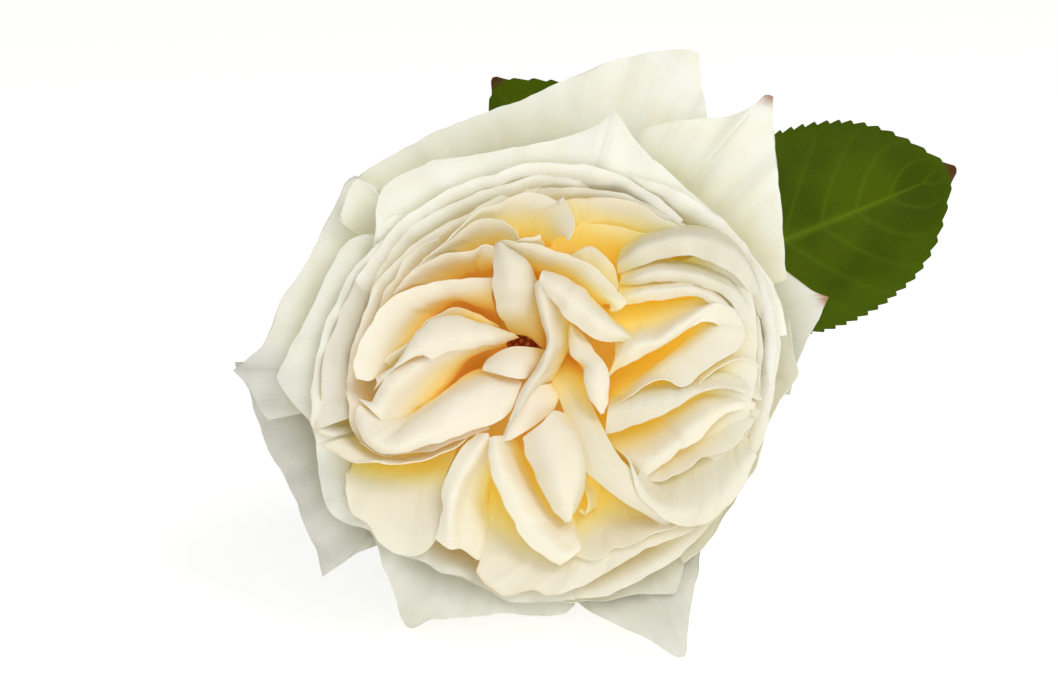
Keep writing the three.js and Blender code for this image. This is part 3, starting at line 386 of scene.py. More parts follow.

# An outer petal: its name, dish, shift and droop in mm, how much painted shade it takes, and its free edge.
OUTER_PETALS = [
    ["top_back", OUTER_DISH, -3, 0, 0,
      [[345, 182], [356, 178], [375, 165], [440, 130], [520, 100], [565, 80], [610, 62], [640, 54],
        [668, 50], [698, 53], [702, 82], [707, 118], [716, 160]]],
    ["upper_right", OUTER_DISH, 0, 0, 0,
      [[628, 150], [640, 131], [672, 122], [710, 118], [742, 112], [756, 104], [765, 95],
        [773, 97], [773, 118], [776, 155], [780, 195], [784, 240], [787, 280]]],
    ["right", OUTER_DISH, -3, 2, 0.5,
      [[765, 235], [775, 258], [788, 272], [803, 284], [816, 293], [829, 297], [824, 309],
        [813, 330], [801, 350], [795, 372], [790, 395]]],
    ["lower_right", OUTER_DISH, 4, 2, 0.4,
      [[790, 320], [794, 350], [797, 373], [790, 386], [775, 411], [760, 450], [744, 487],
        [722, 519], [703, 547], [685, 565]]],
    ["bottom_right", OUTER_DISH, 1, 0, 0.75,
      [[712, 520], [702, 548], [696, 580], [690, 612], [686, 656], [679, 658.5], [650, 641],
        [620, 626], [590, 611], [572, 601], [558, 596]]],
    ["bottom_right_inner", OUTER_DISH, 4, 5, 0.55,
      [[690, 545], [684, 562], [676, 592], [660, 594], [632, 596], [605, 599], [575, 602],
        [550, 602]]],
    ["bottom", OUTER_DISH, 1.5, 26.5, 0.65,
      [[368, 520], [377, 545], [385, 570], [395, 598], [404, 621], [412, 626], [432, 621],
        [470, 616], [500, 614], [532, 615], [566, 614], [574, 604], [580, 590]]],
    ["lower_left", OUTER_DISH, -1.5, 9, 0.9,
      [[236, 362], [248, 390], [257, 420], [270, 450], [300, 510], [312, 541], [318, 562],
        [324, 575], [340, 565], [360, 552], [378, 543], [392, 532]]],
    ["left", OUTER_DISH, 1, 6, 0.1,
      [[356, 176], [345, 184], [333, 208], [311, 254], [290, 286], [278, 308], [271, 327],
        [261, 346], [249, 357], [234, 370], [247, 383], [256, 402], [268, 420]]],
    ["left_fold", OUTER_DISH, 4, 0, 0,
      [[338, 220], [346, 196], [357, 178], [371, 184], [380, 195], [380, 216], [378, 240]]],
    ["left_inner", MIDDLE_DISH, -1.5, 3, 0.05,
      [[385, 236], [362, 235], [345, 243], [330, 270], [310, 310], [291, 349], [276, 376],
        [289, 398], [308, 421], [318, 446]]],
    ["lower_left_inner", MIDDLE_DISH, -2, 0, 0.5,
      [[306, 405], [316, 440], [319, 480], [328, 508], [348, 524], [370, 531], [382, 546],
        [430, 566], [442, 573], [463, 577], [503, 600], [540, 603], [575, 600]]],
    ["top_front", MIDDLE_DISH, 2.5, 0, 0,
      [[374, 246], [376, 212], [384, 187], [405, 172], [430, 163], [470, 155], [520, 147],
        [560, 138], [590, 129], [605, 119], [613, 109], [625, 126], [645, 150], [680, 183],
        [720, 217], [760, 265], [780, 300], [787, 335]]],
    ["top_left_inner", MIDDLE_DISH, 3, 0, 0,
      [[372, 262], [376, 240], [381, 225], [391, 216], [407, 212], [430, 208], [460, 200]]],
]

# A cup petal: its name, its ruffle in mm, how much painted shade it takes, and its rim.
CUP_PETALS = [
    ["left_rim", 0.8, 0.25,
      [[334, 437, 42], [322, 434, 43], [312, 428, 44], [310, 405, 45], [313, 380, 45],
        [319, 347, 45.5], [330, 312, 45.5], [345, 283, 45.5], [362, 260, 45.5], [382, 238, 45]]],
    ["top_rim", 0.45, 0.05,
      [[321, 432, 39.5], [318, 405, 41.5], [321, 368, 43], [332, 328, 44.2], [350, 290, 45],
        [375, 252, 45.5], [402, 220, 46], [440, 194, 46.5], [480, 178, 46.5], [519, 165, 47],
        [555, 163, 47], [590, 165.5, 46.6], [618, 174, 45.8], [640, 186, 45.5], [662, 201, 45.5],
        [684, 219, 45.2]]],
    ["right_rim", 0.3, 0.05,
      [[604, 166, 43.2], [622, 170.5, 44.3], [640, 176.5, 45.3], [672, 188, 46.5], [700, 204, 47],
        [722, 220, 47], [746, 246, 47], [766, 280, 47], [777, 310, 47], [781, 340, 46.5],
        [776, 372, 46], [773, 402, 45.5], [766, 430, 45], [755, 457, 44], [743, 487, 43],
        [722, 510, 41]]],
    ["lower_right_rim", 0.3, 0.2,
      [[748, 470, 41], [730, 500, 41], [715, 519, 41], [700, 537, 41], [682, 553, 40.5],
        [652, 574, 40], [626, 587, 39.5], [600, 597, 39], [572, 599, 38]]],
    ["top_second", 0.45, 0,
      [[344, 348, 36], [350, 325, 39], [360, 300, 41.5], [375, 272, 43.2], [393, 248, 44],
        [412, 226, 44.6], [428, 216, 45], [448, 205, 45], [482, 192, 45], [516, 180, 45.5],
        [548, 174, 45.2], [572, 178, 44.5], [590, 184, 43]]],
    ["top_third", 0.35, 0.25,
      [[515, 198, 41], [535, 190, 43], [562, 187.5, 44.3], [590, 189, 45], [612, 191, 45],
        [632, 197, 45], [656, 209, 45], [684, 225, 45], [704, 239, 45], [722, 257, 45],
        [738, 282, 45], [746, 310, 44.5], [748, 335, 43]]],
    ["left_third", 0.7, 0,
      [[362, 447, 39], [352, 430, 41], [348, 405, 43], [347, 380, 44], [351, 350, 44.8],
        [361, 320, 45.2], [373, 292, 45.5], [389, 266, 45.5], [410, 247, 45.7], [436, 231, 45.7],
        [464, 214, 45.2], [488, 201.5, 45], [510, 193.5, 44.4], [532, 188, 43.5],
        [550, 186, 42.5]]],
    ["right_inner", 0.4, 0,
      [[716, 240, 43.5], [732, 254, 45], [746, 274, 45.8], [757, 302, 46], [762, 335, 46],
        [762, 368, 45.6], [758, 398, 45], [751, 428, 44.3], [739, 457, 43.2], [722, 484, 41.5]]],
]

# Two sheets that close the cup behind the rosette, as rows of points from root to free edge.
LEFT_FACE = [
    [[386, 306, 36], [370, 370, 35], [372, 410, 35]],
    [[370, 284, 40.5], [356, 314, 41.6], [347, 350, 41.4], [343, 385, 41], [344, 420, 40.2]],
    [[364, 270, 43], [346, 298, 43.7], [332, 333, 43.6], [322, 370, 43.2], [318, 405, 42.6],
      [316, 430, 41.6]],
]

RIGHT_FACE = [
    [[735, 262, 38], [748, 300, 38], [752, 340, 38], [750, 380, 38]],
    [[740, 256, 43.4], [757, 290, 44.2], [766, 325, 44.4], [767, 375, 44]],
    [[748, 252, 44.8], [766, 285, 45.3], [774, 318, 45.3], [776, 350, 45], [771, 388, 44.4]],
]

# A rosette petal: its name, how much painted shade it takes, and its rows of points from root to free edge.
INNER_PETALS = [
    ["wavy_top", 0, [
      [[470, 245, 38], [500, 243, 37], [530, 241, 37], [552, 243, 38]],
      [[452, 243, 43], [480, 224, 42.3], [520, 213, 42], [548, 218, 42.3], [561, 236, 43.5]],
      [[432, 252, 46], [455, 233, 47], [478, 212, 46.5], [505, 199, 46], [532, 193, 46],
        [552, 199, 47], [560, 203, 48], [563.5, 196, 48], [569, 206, 48.5], [575, 220, 48.5],
        [574, 230, 48], [567, 240, 47]]]],
    ["left_wavy", 0.1, [
      [[400, 308, 37], [418, 284, 36], [440, 262, 36]],
      [[387, 314, 42], [404, 286, 41.5], [424, 264, 41.5], [442, 248, 41]],
      [[376, 320, 45], [381, 304, 45.6], [386, 288, 46], [396, 276, 46.2], [403, 262, 46.5],
        [414, 254, 46.2], [424, 245, 45.8], [438, 237, 45]]]],
    ["top_left_gray", 0.15, [
      [[455, 264, 36], [485, 260, 35], [512, 254, 36]],
      [[438, 258, 43], [470, 243, 41], [500, 238, 41], [514, 246, 41.5]],
      [[408, 272, 45.6], [424, 258, 46.4], [441, 247, 47], [452, 240, 46.6], [464, 229, 47],
        [480, 220, 46.6], [500, 219, 46], [511, 225, 45.6], [517, 233, 45.2], [519, 242, 45]]]],
    ["top_left_bright", 0, [
      [[440, 288, 36], [470, 280, 34], [493, 283, 33]],
      [[415, 284, 42.5], [442, 270, 41], [468, 264, 39.5], [492, 267, 38]],
      [[392, 294, 45.3], [403, 280, 46], [420, 267, 46.5], [442, 256, 47], [464, 250, 47],
        [482, 246, 47.3], [493, 247, 47.2], [497, 254, 46.4], [493, 262, 45.6]]]],
    ["left_arc", 0, [
      [[384, 373, 42], [402, 350, 40.5], [420, 325, 39], [440, 309, 36.5], [462, 301, 35],
        [482, 310, 34], [500, 324, 32]],
      [[370, 381, 44.8], [378, 355, 44.6], [392, 330, 44.2], [410, 312, 43.8], [432, 300, 43],
        [460, 293, 42], [492, 297, 40.5]],
      [[357, 379, 45], [354, 362, 46], [362, 338, 46.5], [375, 316, 46.7], [392, 298, 46.8],
        [415, 287, 46.4], [445, 281, 46], [470, 277, 45.7], [494, 279, 45]]]],
    ["left_second", 0, [
      [[394, 372, 38], [412, 354, 37], [430, 338, 36], [447, 330, 35.5], [467, 327, 35],
        [500, 336, 34]],
      [[390, 366, 43], [408, 349, 43.5], [424, 333, 43], [440, 322, 42], [462, 315, 40.6],
        [490, 325, 38.6]],
      [[384, 362, 45.5], [402, 348, 46.3], [418, 331, 46.2], [431, 318, 45.4], [446, 311, 43.8],
        [463, 310, 42], [482, 315, 40.2], [501, 327, 38.8]]]],
    ["left_white", 0.1, [
      [[380, 378, 41], [398, 366, 42], [411, 350, 43], [423, 334, 42.6], [438, 323, 42],
        [458, 320, 41], [484, 327, 39.5], [510, 334, 36.5]],
      [[376, 378, 44], [394, 366, 46], [407, 349, 47], [419, 332, 47], [433, 320, 46.6],
        [456, 316.5, 46], [482, 324.5, 44.4], [510, 333, 40]],
      [[377, 382, 44.5], [394, 369, 46.8], [411, 354, 47.8], [428, 342, 48.3], [450, 337, 48],
        [478, 336, 46.5], [514, 334, 40.5]],
      [[374, 390, 43.5], [390, 374, 45.5], [408, 359, 46.7], [424, 353, 47], [432, 358, 47],
        [442, 355, 46.7], [460, 351, 46], [482, 346, 44], [520, 338, 38.5]]]],
    ["left_band", 0, [
      [[394, 431, 42.5], [412, 412, 41], [432, 395, 39.5], [448, 379, 38.5], [462, 364, 37],
        [478, 352, 36], [506, 346, 33]],
      [[386, 424, 44.2], [402, 401, 43.2], [421, 384, 42.4], [440, 370, 41.6], [459, 360, 40.6],
        [480, 351, 38.6], [507, 344.5, 35]],
      [[373, 412, 46.2], [391, 388, 46.3], [408, 372, 46], [428, 359, 45.4], [448, 352, 44.4],
        [471, 347, 42.6], [508, 341, 36.5]],
      [[358, 398, 44.8], [371, 402, 45], [379, 386, 45.2], [395, 371, 45], [415, 358, 44.6],
        [435, 350, 44.2], [458, 346, 43.2], [482, 342.5, 41], [508, 338, 37.5]]]],
    ["left_pillow", 0, [
      [[399, 428, 41], [420, 409, 39.5], [440, 396, 38.5], [455, 384, 37.5], [466, 375, 37],
        [479, 370, 36.5], [495, 374, 37]],
      [[362, 406, 44.5], [378, 419, 45], [395, 432, 45.5], [425, 414, 46.3], [455, 395, 46.8],
        [485, 383, 46], [521, 381, 43]],
      [[357, 412, 44.3], [368, 435, 46], [392, 446, 47], [425, 434, 47.8], [460, 417, 48],
        [490, 404, 47], [517, 396, 45]],
      [[356, 420, 42.5], [364, 442, 44], [384, 454, 44.8], [415, 449, 45.3], [450, 438, 46],
        [480, 429, 46], [500, 420, 45.5], [512, 408, 44.8]]]],
    ["left_pillow_lip", 0, [
      [[365, 430, 38], [385, 445, 40], [412, 443, 41], [445, 432, 42], [480, 420, 42]],
      [[360, 441, 42], [381, 455, 42.6], [410, 454.5, 43.2], [445, 445, 43.7], [475, 435, 44.4],
        [490, 429, 44.6]]]],
    ["left_shell", 0, [
      [[358, 436, 34], [372, 447, 33], [392, 452, 33], [418, 450, 34], [445, 442, 35],
        [466, 434, 36]],
      [[338, 439, 42.4], [352, 449, 42.6], [370, 459, 43], [390, 463, 43.2], [417, 460, 43.2],
        [443, 452, 43.2], [465, 441, 43.4]],
      [[321, 445, 44], [335, 453, 44.5], [349, 461, 45], [370, 463, 45.5], [389, 465, 45.5],
        [412, 461, 45.5], [436, 456, 45.5], [455, 448, 45.3], [468, 439, 45]]]],
    ["lower_left_fan", 0.2, [
      [[395, 445, 29], [430, 440, 28], [462, 430, 29]],
      [[358, 459, 33], [400, 463, 32.5], [430, 462, 32.5], [456, 452, 33]],
      [[350, 470, 37.5], [380, 488, 38], [415, 490, 37.5], [444, 482, 38]],
      [[346, 474, 39.3], [347, 494, 40.6], [352, 512, 41.3], [364, 521, 41.5], [372, 531, 41.6],
        [377, 540, 41.5], [391, 551, 41.3], [411, 555, 41.3], [427, 551, 41.3], [437, 540, 41],
        [441, 515, 40.5]]]],
    ["lower_left_ridge", 0, [
      [[494, 462, 37], [486, 487, 36], [482, 507, 37], [485, 530, 38.5], [481, 559, 39.5]],
      [[490, 450, 42.6], [474, 475, 41.2], [466, 497, 40.4], [462, 522, 40.6], [461, 549, 41.2]],
      [[489, 434, 46.3], [474, 456, 45.8], [462, 476, 45.3], [454, 495, 44.6], [450, 516, 43.8],
        [449, 549, 43]],
      [[477, 432, 44.6], [463, 446, 44.6], [452, 463, 44.3], [445, 484, 43.6], [441, 510, 42.6],
        [435, 539, 42]]]],
    ["bottom_long", 0, [
      [[516, 440, 36], [525, 463, 35.5], [537, 486, 35.5], [548, 506, 36.5], [561, 521, 38.5],
        [572, 529, 40.5], [581, 545, 42]],
      [[504, 436, 43.5], [511, 459, 42.5], [523, 483, 42.3], [537, 506, 42], [551, 526, 42],
        [564, 541, 42.5], [577, 553, 42.8]],
      [[494, 436, 47], [497, 456, 47], [507, 481, 46.6], [519, 506, 46], [534, 529, 45],
        [551, 548, 44.2], [570, 559, 43]],
      [[487, 438, 46], [489, 456, 46], [495, 481, 45.6], [505, 506, 45], [518, 531, 44.2],
        [536, 550, 43.3], [560, 566, 42.3]]]],
    ["bottom_tongue", 0.1, [
      [[575, 420, 38], [585, 443, 39], [586, 465, 39], [583, 490, 39], [575, 511, 40]],
      [[554, 411, 45], [569, 430, 46], [578, 450, 46.2], [581, 470, 46], [578, 490, 45.3],
        [573, 512, 44]],
      [[541, 424, 47], [547, 445, 48], [554, 465, 48.2], [560, 485, 47.6], [565, 502, 46],
        [570, 521, 43.5]],
      [[524, 437, 44.5], [526, 455, 44], [533, 473, 43.6], [543, 492, 43.4], [553, 508, 43.3],
        [566, 522, 42.8]]]],
    ["small_tongue", 0, [
      [[590, 470, 33], [598, 485, 33], [598, 505, 34]],
      [[578, 476, 38], [584, 488, 39], [588, 501, 39.5], [585, 513, 39.5], [577, 509, 39]]]],
    ["bottom_fan", 0.2, [
      [[495, 470, 30], [530, 462, 28], [575, 458, 28], [620, 470, 30], [655, 490, 33]],
      [[488, 510, 35], [530, 518, 33.5], [575, 505, 33], [620, 506, 35], [662, 520, 38]],
      [[485, 543, 38.5], [520, 560, 39], [560, 566, 39.5], [600, 552, 40], [640, 538, 40.5],
        [680, 525, 41.5]],
      [[486, 536, 38.5], [480, 556, 39.7], [476, 573, 40.5], [487, 584, 41], [503, 595, 41.2],
        [533, 591, 41.2], [549, 595, 41.2], [575, 589, 41.2], [600, 577, 41.2], [621, 563, 41.4],
        [642, 552, 41.8], [667, 541, 42.3], [697, 527, 43]]]],
    ["bottom_fan_second", 0.15, [
      [[575, 498, 31], [612, 500, 32], [645, 508, 35]],
      [[570, 552, 40.3], [588, 560, 41.4], [602, 557, 42], [612, 549, 42.2], [630, 545, 42.6],
        [650, 536, 43], [672, 528, 43.4], [692, 521, 43.6]]]],
    ["lower_right_bowl", 0.25, [
      [[645, 452, 36], [665, 458, 36], [688, 452, 37], [708, 437, 39], [728, 420, 41]],
      [[641, 468, 42.2], [660, 485, 41], [683, 482, 41.5], [704, 468, 42], [724, 456, 42.7],
        [746, 436, 43.5]],
      [[636, 474, 45.2], [655, 500, 45], [682, 508, 45], [708, 500, 45.3], [730, 480, 45.8],
        [752, 450, 46]],
      [[628, 452, 46.2], [632, 470, 46.4], [635, 486, 46], [643, 501, 45.5], [664, 518, 45.3],
        [689, 527, 44.8], [709, 522, 45], [726, 507, 45.5], [744, 484, 46], [757, 456, 46.2]]]],
    ["lower_right_inner", 0, [
      [[650, 458, 37], [672, 447, 37], [695, 435, 38.5], [716, 420, 40.5], [742, 408, 42]],
      [[640, 480, 42], [660, 482, 42.6], [672, 476, 43], [681, 474, 43.3], [691, 467, 43.7],
        [700, 457, 44.1], [718, 454, 44.6], [735, 445, 45], [748, 428, 45.2], [755, 419, 45.2],
        [758, 421, 45.1], [763, 410, 44.6]]]],
    ["right_wall", 0, [
      [[668, 268, 34], [684, 300, 34], [690, 340, 34], [688, 380, 34.5], [680, 420, 35],
        [668, 450, 35]],
      [[690, 258, 40], [708, 290, 40.5], [716, 335, 40.8], [714, 380, 40.8], [706, 420, 40.5],
        [694, 452, 40]],
      [[706, 250, 43], [726, 280, 43.4], [737, 330, 43.6], [737, 380, 43.4], [729, 425, 43],
        [714, 460, 42.4]],
      [[722, 246, 44.4], [742, 272, 45], [755, 310, 45.2], [757, 350, 45], [754, 390, 44.6],
        [746, 430, 44], [732, 465, 43]]]],
    ["right_fourth", 0, [
      [[603, 430, 34], [625, 426, 33.5], [650, 416, 33.5], [677, 402, 35], [710, 392, 39]],
      [[613, 446, 38.5], [636, 441, 39], [662, 430, 40], [686, 411, 41], [706, 400, 42.3],
        [738, 396, 43]],
      [[626, 458, 42], [646, 460, 43.2], [668, 448, 44], [690, 429, 44.6], [710, 414, 45],
        [730, 404, 44.9], [755, 402, 44.4]],
      [[633, 467, 42], [643, 478, 42.4], [660, 466, 42.8], [672, 459, 43.1], [685, 448, 43.6],
        [701, 438, 44.1], [712, 424, 44.6], [728, 413, 44.8], [754, 410, 44.3]]]],
    ["right_third", 0.4, [
      [[613, 396, 37], [640, 387, 38.5], [670, 384, 40], [697, 376, 41.5], [722, 372, 42.5],
        [748, 380, 43]],
      [[608, 408, 43.3], [630, 402, 44.4], [655, 397, 45], [680, 392, 45.3], [700, 388, 45.2],
        [722, 384, 44.8], [745, 388, 44.4], [762, 400, 43.8]],
      [[605, 433, 42.5], [622, 430, 43.5], [640, 424, 44.2], [658, 417, 44.8], [671, 410, 45.1],
        [684, 402, 45.3], [700, 393, 45.4], [718, 388, 45.2], [735, 390, 44.8],
        [752, 398, 44.3]]]],
    ["right_third_fold", 0, [
      [[690, 372, 40], [710, 362, 40], [735, 352, 41.5]],
      [[694, 388, 44.2], [706, 378, 45], [720, 368, 45.4], [734, 362, 45.5], [750, 358, 45.2],
        [762, 368, 44.6]]]],
    ["right_second", 0, [
      [[608, 404, 37.5], [615, 390, 36], [640, 374, 35], [662, 358, 35], [680, 342, 36],
        [699, 324, 38]],
      [[613, 405, 41], [637, 384, 41.5], [667, 361, 42.5], [696, 344, 43.5], [718, 326, 44.6]],
      [[611, 406, 43], [634, 394, 44.6], [648, 385, 45.6], [660, 380, 46], [671, 381, 46],
        [681, 385, 45.8], [690, 382, 46], [702, 373, 46.3], [718, 362, 46.4], [733, 354, 46.4],
        [742, 344, 46.2], [743, 331, 45.6], [736, 322, 45]]]],
    ["right_first", 0, [
      [[606, 309, 35], [630, 305, 34], [660, 303, 35.5], [690, 300, 38], [715, 296, 41]],
      [[612, 322, 37], [636, 323, 38.5], [666, 318, 40.5], [700, 307, 42.7], [728, 308, 43.4]],
      [[615, 355, 43], [626, 347, 44.8], [640, 342, 46], [661, 338, 46.5], [680, 325, 46.4],
        [700, 312, 46], [718, 302, 45.6], [734, 310, 45.2], [744, 330, 44.6]],
      [[607, 378, 41.5], [622, 368, 42.8], [640, 357, 43.9], [656, 348, 44.5], [672, 339, 44.9],
        [689, 329, 45], [703, 322, 44.9], [715, 322, 44.4], [725, 336, 43.8]]]],
    ["upper_right_third", 0.1, [
      [[620, 281, 36], [650, 280, 36], [680, 279, 38], [706, 284, 40.5], [728, 300, 42]],
      [[619, 298, 42.3], [640, 292, 44], [660, 288, 44.8], [690, 288, 45.2], [714, 297, 45.2],
        [731, 311, 44.7], [741, 338, 43.2]],
      [[622, 304, 41], [642, 303, 42.2], [662, 300, 43.2], [690, 295, 44], [710, 303, 44.3],
        [724, 315, 44], [739, 342, 42.6]]]],
    ["upper_right_second", 0.25, [
      [[620, 263, 37], [650, 261, 37], [685, 263, 38.5], [716, 271, 41], [740, 294, 42]],
      [[620, 281, 42], [640, 275, 44.2], [660, 271, 45], [690, 273, 45.4], [715, 280, 45.6],
        [735, 291, 45.6], [748, 310, 45], [757, 342, 43.4]],
      [[618, 286, 40.8], [640, 284, 42.4], [662, 281, 43.2], [690, 283, 44], [711, 290, 44.7],
        [728, 301, 44.9], [741, 318, 44.4], [755, 346, 42.8]]]],
    ["upper_right_wide", 0.5, [
      [[622, 247, 36], [650, 232, 37], [690, 227, 39.5], [722, 236, 42], [744, 262, 43]],
      [[617, 263, 42.5], [638, 249, 45], [660, 240, 46.3], [690, 236, 46.6], [716, 241, 46.6],
        [740, 256, 46.3], [758, 284, 45.4], [769, 326, 43.6]],
      [[618, 275, 41], [640, 265, 43], [663, 258, 44.2], [692, 257, 45.1], [717, 264, 45.6],
        [737, 277, 45.6], [752, 300, 44.8], [768, 330, 43]]]],
    ["top_wall", 0, [
      [[585, 262, 31], [615, 262, 31], [648, 256, 33]],
      [[572, 230, 37.5], [600, 228, 37.5], [630, 230, 38], [662, 240, 39.5]],
      [[560, 203, 43], [585, 197, 43.4], [612, 198, 43.6], [640, 206, 43.6], [668, 220, 43.6],
        [694, 238, 43.2]]]],
    ["upper_right_yellow", 0, [
      [[542, 266, 35], [560, 266, 34.2], [583, 265, 33.5], [610, 264, 33], [640, 256, 34]],
      [[538, 228, 36.6], [554, 225, 38], [570, 223.5, 38.8], [585, 224, 39.3], [600, 224.5, 39.7],
        [620, 227, 40.3], [640, 232, 41], [664, 240, 42]]]],
    ["fold_behind", 0.1, [
      [[577, 266, 41], [594, 278, 41], [612, 294, 41]],
      [[572, 254, 43.8], [582, 248, 44.6], [592, 246, 44.8], [601, 250, 44.6], [608, 259, 44.2],
        [614, 272, 43.6], [619, 288, 42.5]]]],
    ["fold_top", 0.05, [
      [[504, 248, 43], [521, 259, 41.5], [541, 268, 40], [560, 277, 39], [580, 290, 38.5],
        [600, 307, 37.5]],
      [[500, 243, 47], [520, 249, 46], [545, 256, 45.5], [568, 262, 45.7], [590, 278, 45.3],
        [607, 297, 43.6], [609, 305, 42]],
      [[499, 241, 48], [515, 242, 47.7], [535, 245, 47.2], [556, 251, 47.6], [573, 255, 48.3],
        [592, 267, 48], [610, 283, 47], [620, 294, 45.8], [627, 302, 44.6], [621, 309, 43.8],
        [611, 310, 43]]]],
    ["heart_left", 0.35, [
      [[512, 254, 42], [531, 273, 40.5], [541, 292, 38], [545, 318, 35], [545, 338, 33]],
      [[503, 244, 47.5], [524, 261, 47.5], [532, 281, 46], [535, 304, 42], [539, 326, 37.5],
        [543, 348, 34]],
      [[499, 242, 48.7], [509, 262, 49.3], [513, 285, 48.3], [515, 305, 45], [519, 322, 40],
        [528, 336, 35]],
      [[496, 243, 47.5], [494, 265, 47], [493, 285, 46], [496, 306, 43.5], [503, 322, 39.5],
        [511, 333, 35.5]]]],
    ["heart_strip", 0.3, [
      [[556, 293, 42], [564, 306, 40], [570, 322, 38], [570, 342, 37], [560, 364, 37.5],
        [550, 382, 38.5]],
      [[547, 289, 45.5], [556, 304, 44], [563, 322, 42], [564, 342, 41], [554, 360, 41.5],
        [545, 378, 42.3], [533, 393, 43]],
      [[540, 280, 47.8], [543, 300, 47], [547, 318, 46], [551, 338, 45], [549, 356, 44.8],
        [538, 376, 45], [527, 394, 45.6], [517, 416, 46.5]],
      [[534, 284, 46], [538, 301, 45], [541, 317, 44], [545, 336, 43.2], [544, 354, 43.2],
        [532, 373, 43.8], [521, 393, 44.8], [511, 416, 46], [503, 440, 46.3]]]],
    ["heart_fold", 0.15, [
      [[556, 277, 41], [576, 288, 40], [593, 301, 39], [611, 319, 38.5], [627, 333, 38.5]],
      [[543, 271, 47.5], [563, 278, 47.5], [581, 291, 46.7], [600, 309, 45.3], [620, 328, 44],
        [638, 341, 42.5]],
      [[540, 277, 49], [558, 290, 49.7], [578, 304, 49], [598, 318, 48], [618, 331, 46],
        [638, 342, 43]],
      [[541, 286, 46.5], [553, 304, 46.5], [570, 321, 46], [584, 331, 45.7], [594, 338, 45.3],
        [618, 342, 44], [639, 343, 42.3]]]],
    ["heart_round", 0, [
      [[545, 350, 37], [542, 364, 39], [530, 376, 40]],
      [[528, 347, 42], [523, 360, 45], [522, 379, 46]],
      [[511, 347, 43], [506, 360, 45.7], [508, 377, 46.6]],
      [[498, 352, 43], [494, 362, 45], [497, 374, 45.7]],
      [[488, 359, 42.5], [483, 365, 43.2], [481, 370, 43.3]]]],
    ["heart_hanging", 0, [
      [[574, 345, 36], [588, 375, 37], [597, 398, 38]],
      [[569, 324, 41], [571, 353, 43], [586, 364, 45], [585, 378, 46], [590, 397, 46],
        [600, 415, 45]],
      [[571, 326, 42.5], [582, 350, 45], [594, 365, 47.3], [596, 382, 48.2], [600, 400, 47.2],
        [603, 414, 45.2]],
      [[571, 321, 41], [588, 341, 43.5], [600, 357, 45.5], [607, 369, 46.5], [607, 388, 46.5],
        [609, 404, 45.5], [605, 414, 44.8]]]],
    ["diagonal", 0.2, [
      [[546, 370, 34], [565, 358, 32.5], [585, 372, 34]],
      [[557, 393, 39.5], [573, 395, 40.5], [591, 403, 40]],
      [[570, 430, 42.6], [588, 431, 44.6], [606, 436, 43.5]],
      [[580, 464, 43], [600, 463, 46], [620, 458, 45.2]],
      [[600, 484, 43.4], [618, 480, 46.2], [631, 470, 45.4]],
      [[624, 502, 43], [637, 497, 45], [645, 491, 44.6]],
      [[646, 515, 41.8], [652, 513, 43.2], [657, 510, 43.4]],
      [[665, 527, 41.4], [669, 525, 42.2], [672, 522, 42.4]]]],
    ["small_tip", 0, [
      [[512, 247, 43.5], [528, 247, 43.5], [545, 246, 43.5]],
      [[514, 243, 46], [527, 240, 46.8], [541, 241, 46.6]],
      [[516, 241, 46.6], [526, 237, 47.6], [534, 238, 47.8], [541, 236.5, 47.8]]]],
    ["small_white", 0, [
      [[550, 384, 40.5], [558, 395, 40.5], [554, 408, 41.5]],
      [[528, 390, 43.3], [538, 402, 44.3], [535, 425, 44.3]],
      [[513, 412, 44], [515, 425, 45], [512, 439, 44.5]],
      [[507, 428, 44], [505, 434, 44.3], [502, 442, 44.3]]]],
]


def dish_depth(dish, flat, shift, droop):
    """How deep a point of an outer petal lies."""
    offset = (flat - np.array(CUP_MIDDLE)) / np.array(CUP_HALF)
    place = np.hypot(offset[..., 0], offset[..., 1])
    past = np.maximum(place - 1, 0) / DROOP_OVER
    return read_table(dish, place) + shift * np.minimum(place / SHIFT_WHOLE, 1) - droop * past**2


def fan_grid(dish, shift, droop, edge):
    """The face of an outer petal: a fan from near the middle out to its edge, laid on its dish."""
    edge = np.array(edge, float)
    shares = shares_between(knots_of(edge), length_of(edge) * PICTURE_UNIT, OUTER_STEP)
    line = along(edge, knots_of(edge), shares, corner_ease(edge))
    reach = np.linalg.norm(line - CENTRE, axis=-1).mean() * PICTURE_UNIT
    steps = np.linspace(FAN_START, 1, round(reach * (1 - FAN_START) / OUTER_STEP))
    flat = CENTRE + (line[:, None] - CENTRE) * steps[None, :, None]
    depth = dish_depth(dish, flat, shift, droop)
    grid = seen(np.concatenate([flat, depth[..., None]], -1))
    return grid, shares, (steps - FAN_START) / (1 - FAN_START)


def row_grid(rows, step):
    """The face of a petal that follows rows of points from its root to its free edge."""
    edge = rows[-1]
    edge_knots = knots_of(edge)
    shares = shares_between(edge_knots, length_of(edge), step)
    lines = []
    for row in rows:
        knots = edge_knots if len(row) == len(edge) else knots_of(row)
        lines.append(along(row, knots, shares, corner_ease(row)))
    reach = summed(np.maximum(steps_of(np.array(lines)).mean(axis=1), ROW_GAP))
    down = shares_between(reach / reach[-1], reach[-1], step)
    return along(np.array(lines), reach / reach[-1], down).transpose(1, 0, 2), shares, down


def root_row(row):
    """The hidden root of a rosette petal, drawn in towards the middle."""
    row = np.array(row, float)
    middle = row[:, :2].mean(axis=0)
    pulled = CENTRE + (middle + (row[:, :2] - middle) * ROOT_NARROW - CENTRE) * ROOT_PULL
    return np.concatenate([pulled, np.full((len(row), 1), ROOT_DEPTH)], -1)


def rosette_face(rows):
    return row_grid([seen(row) for row in [root_row(rows[0]), *rows]], INNER_STEP)


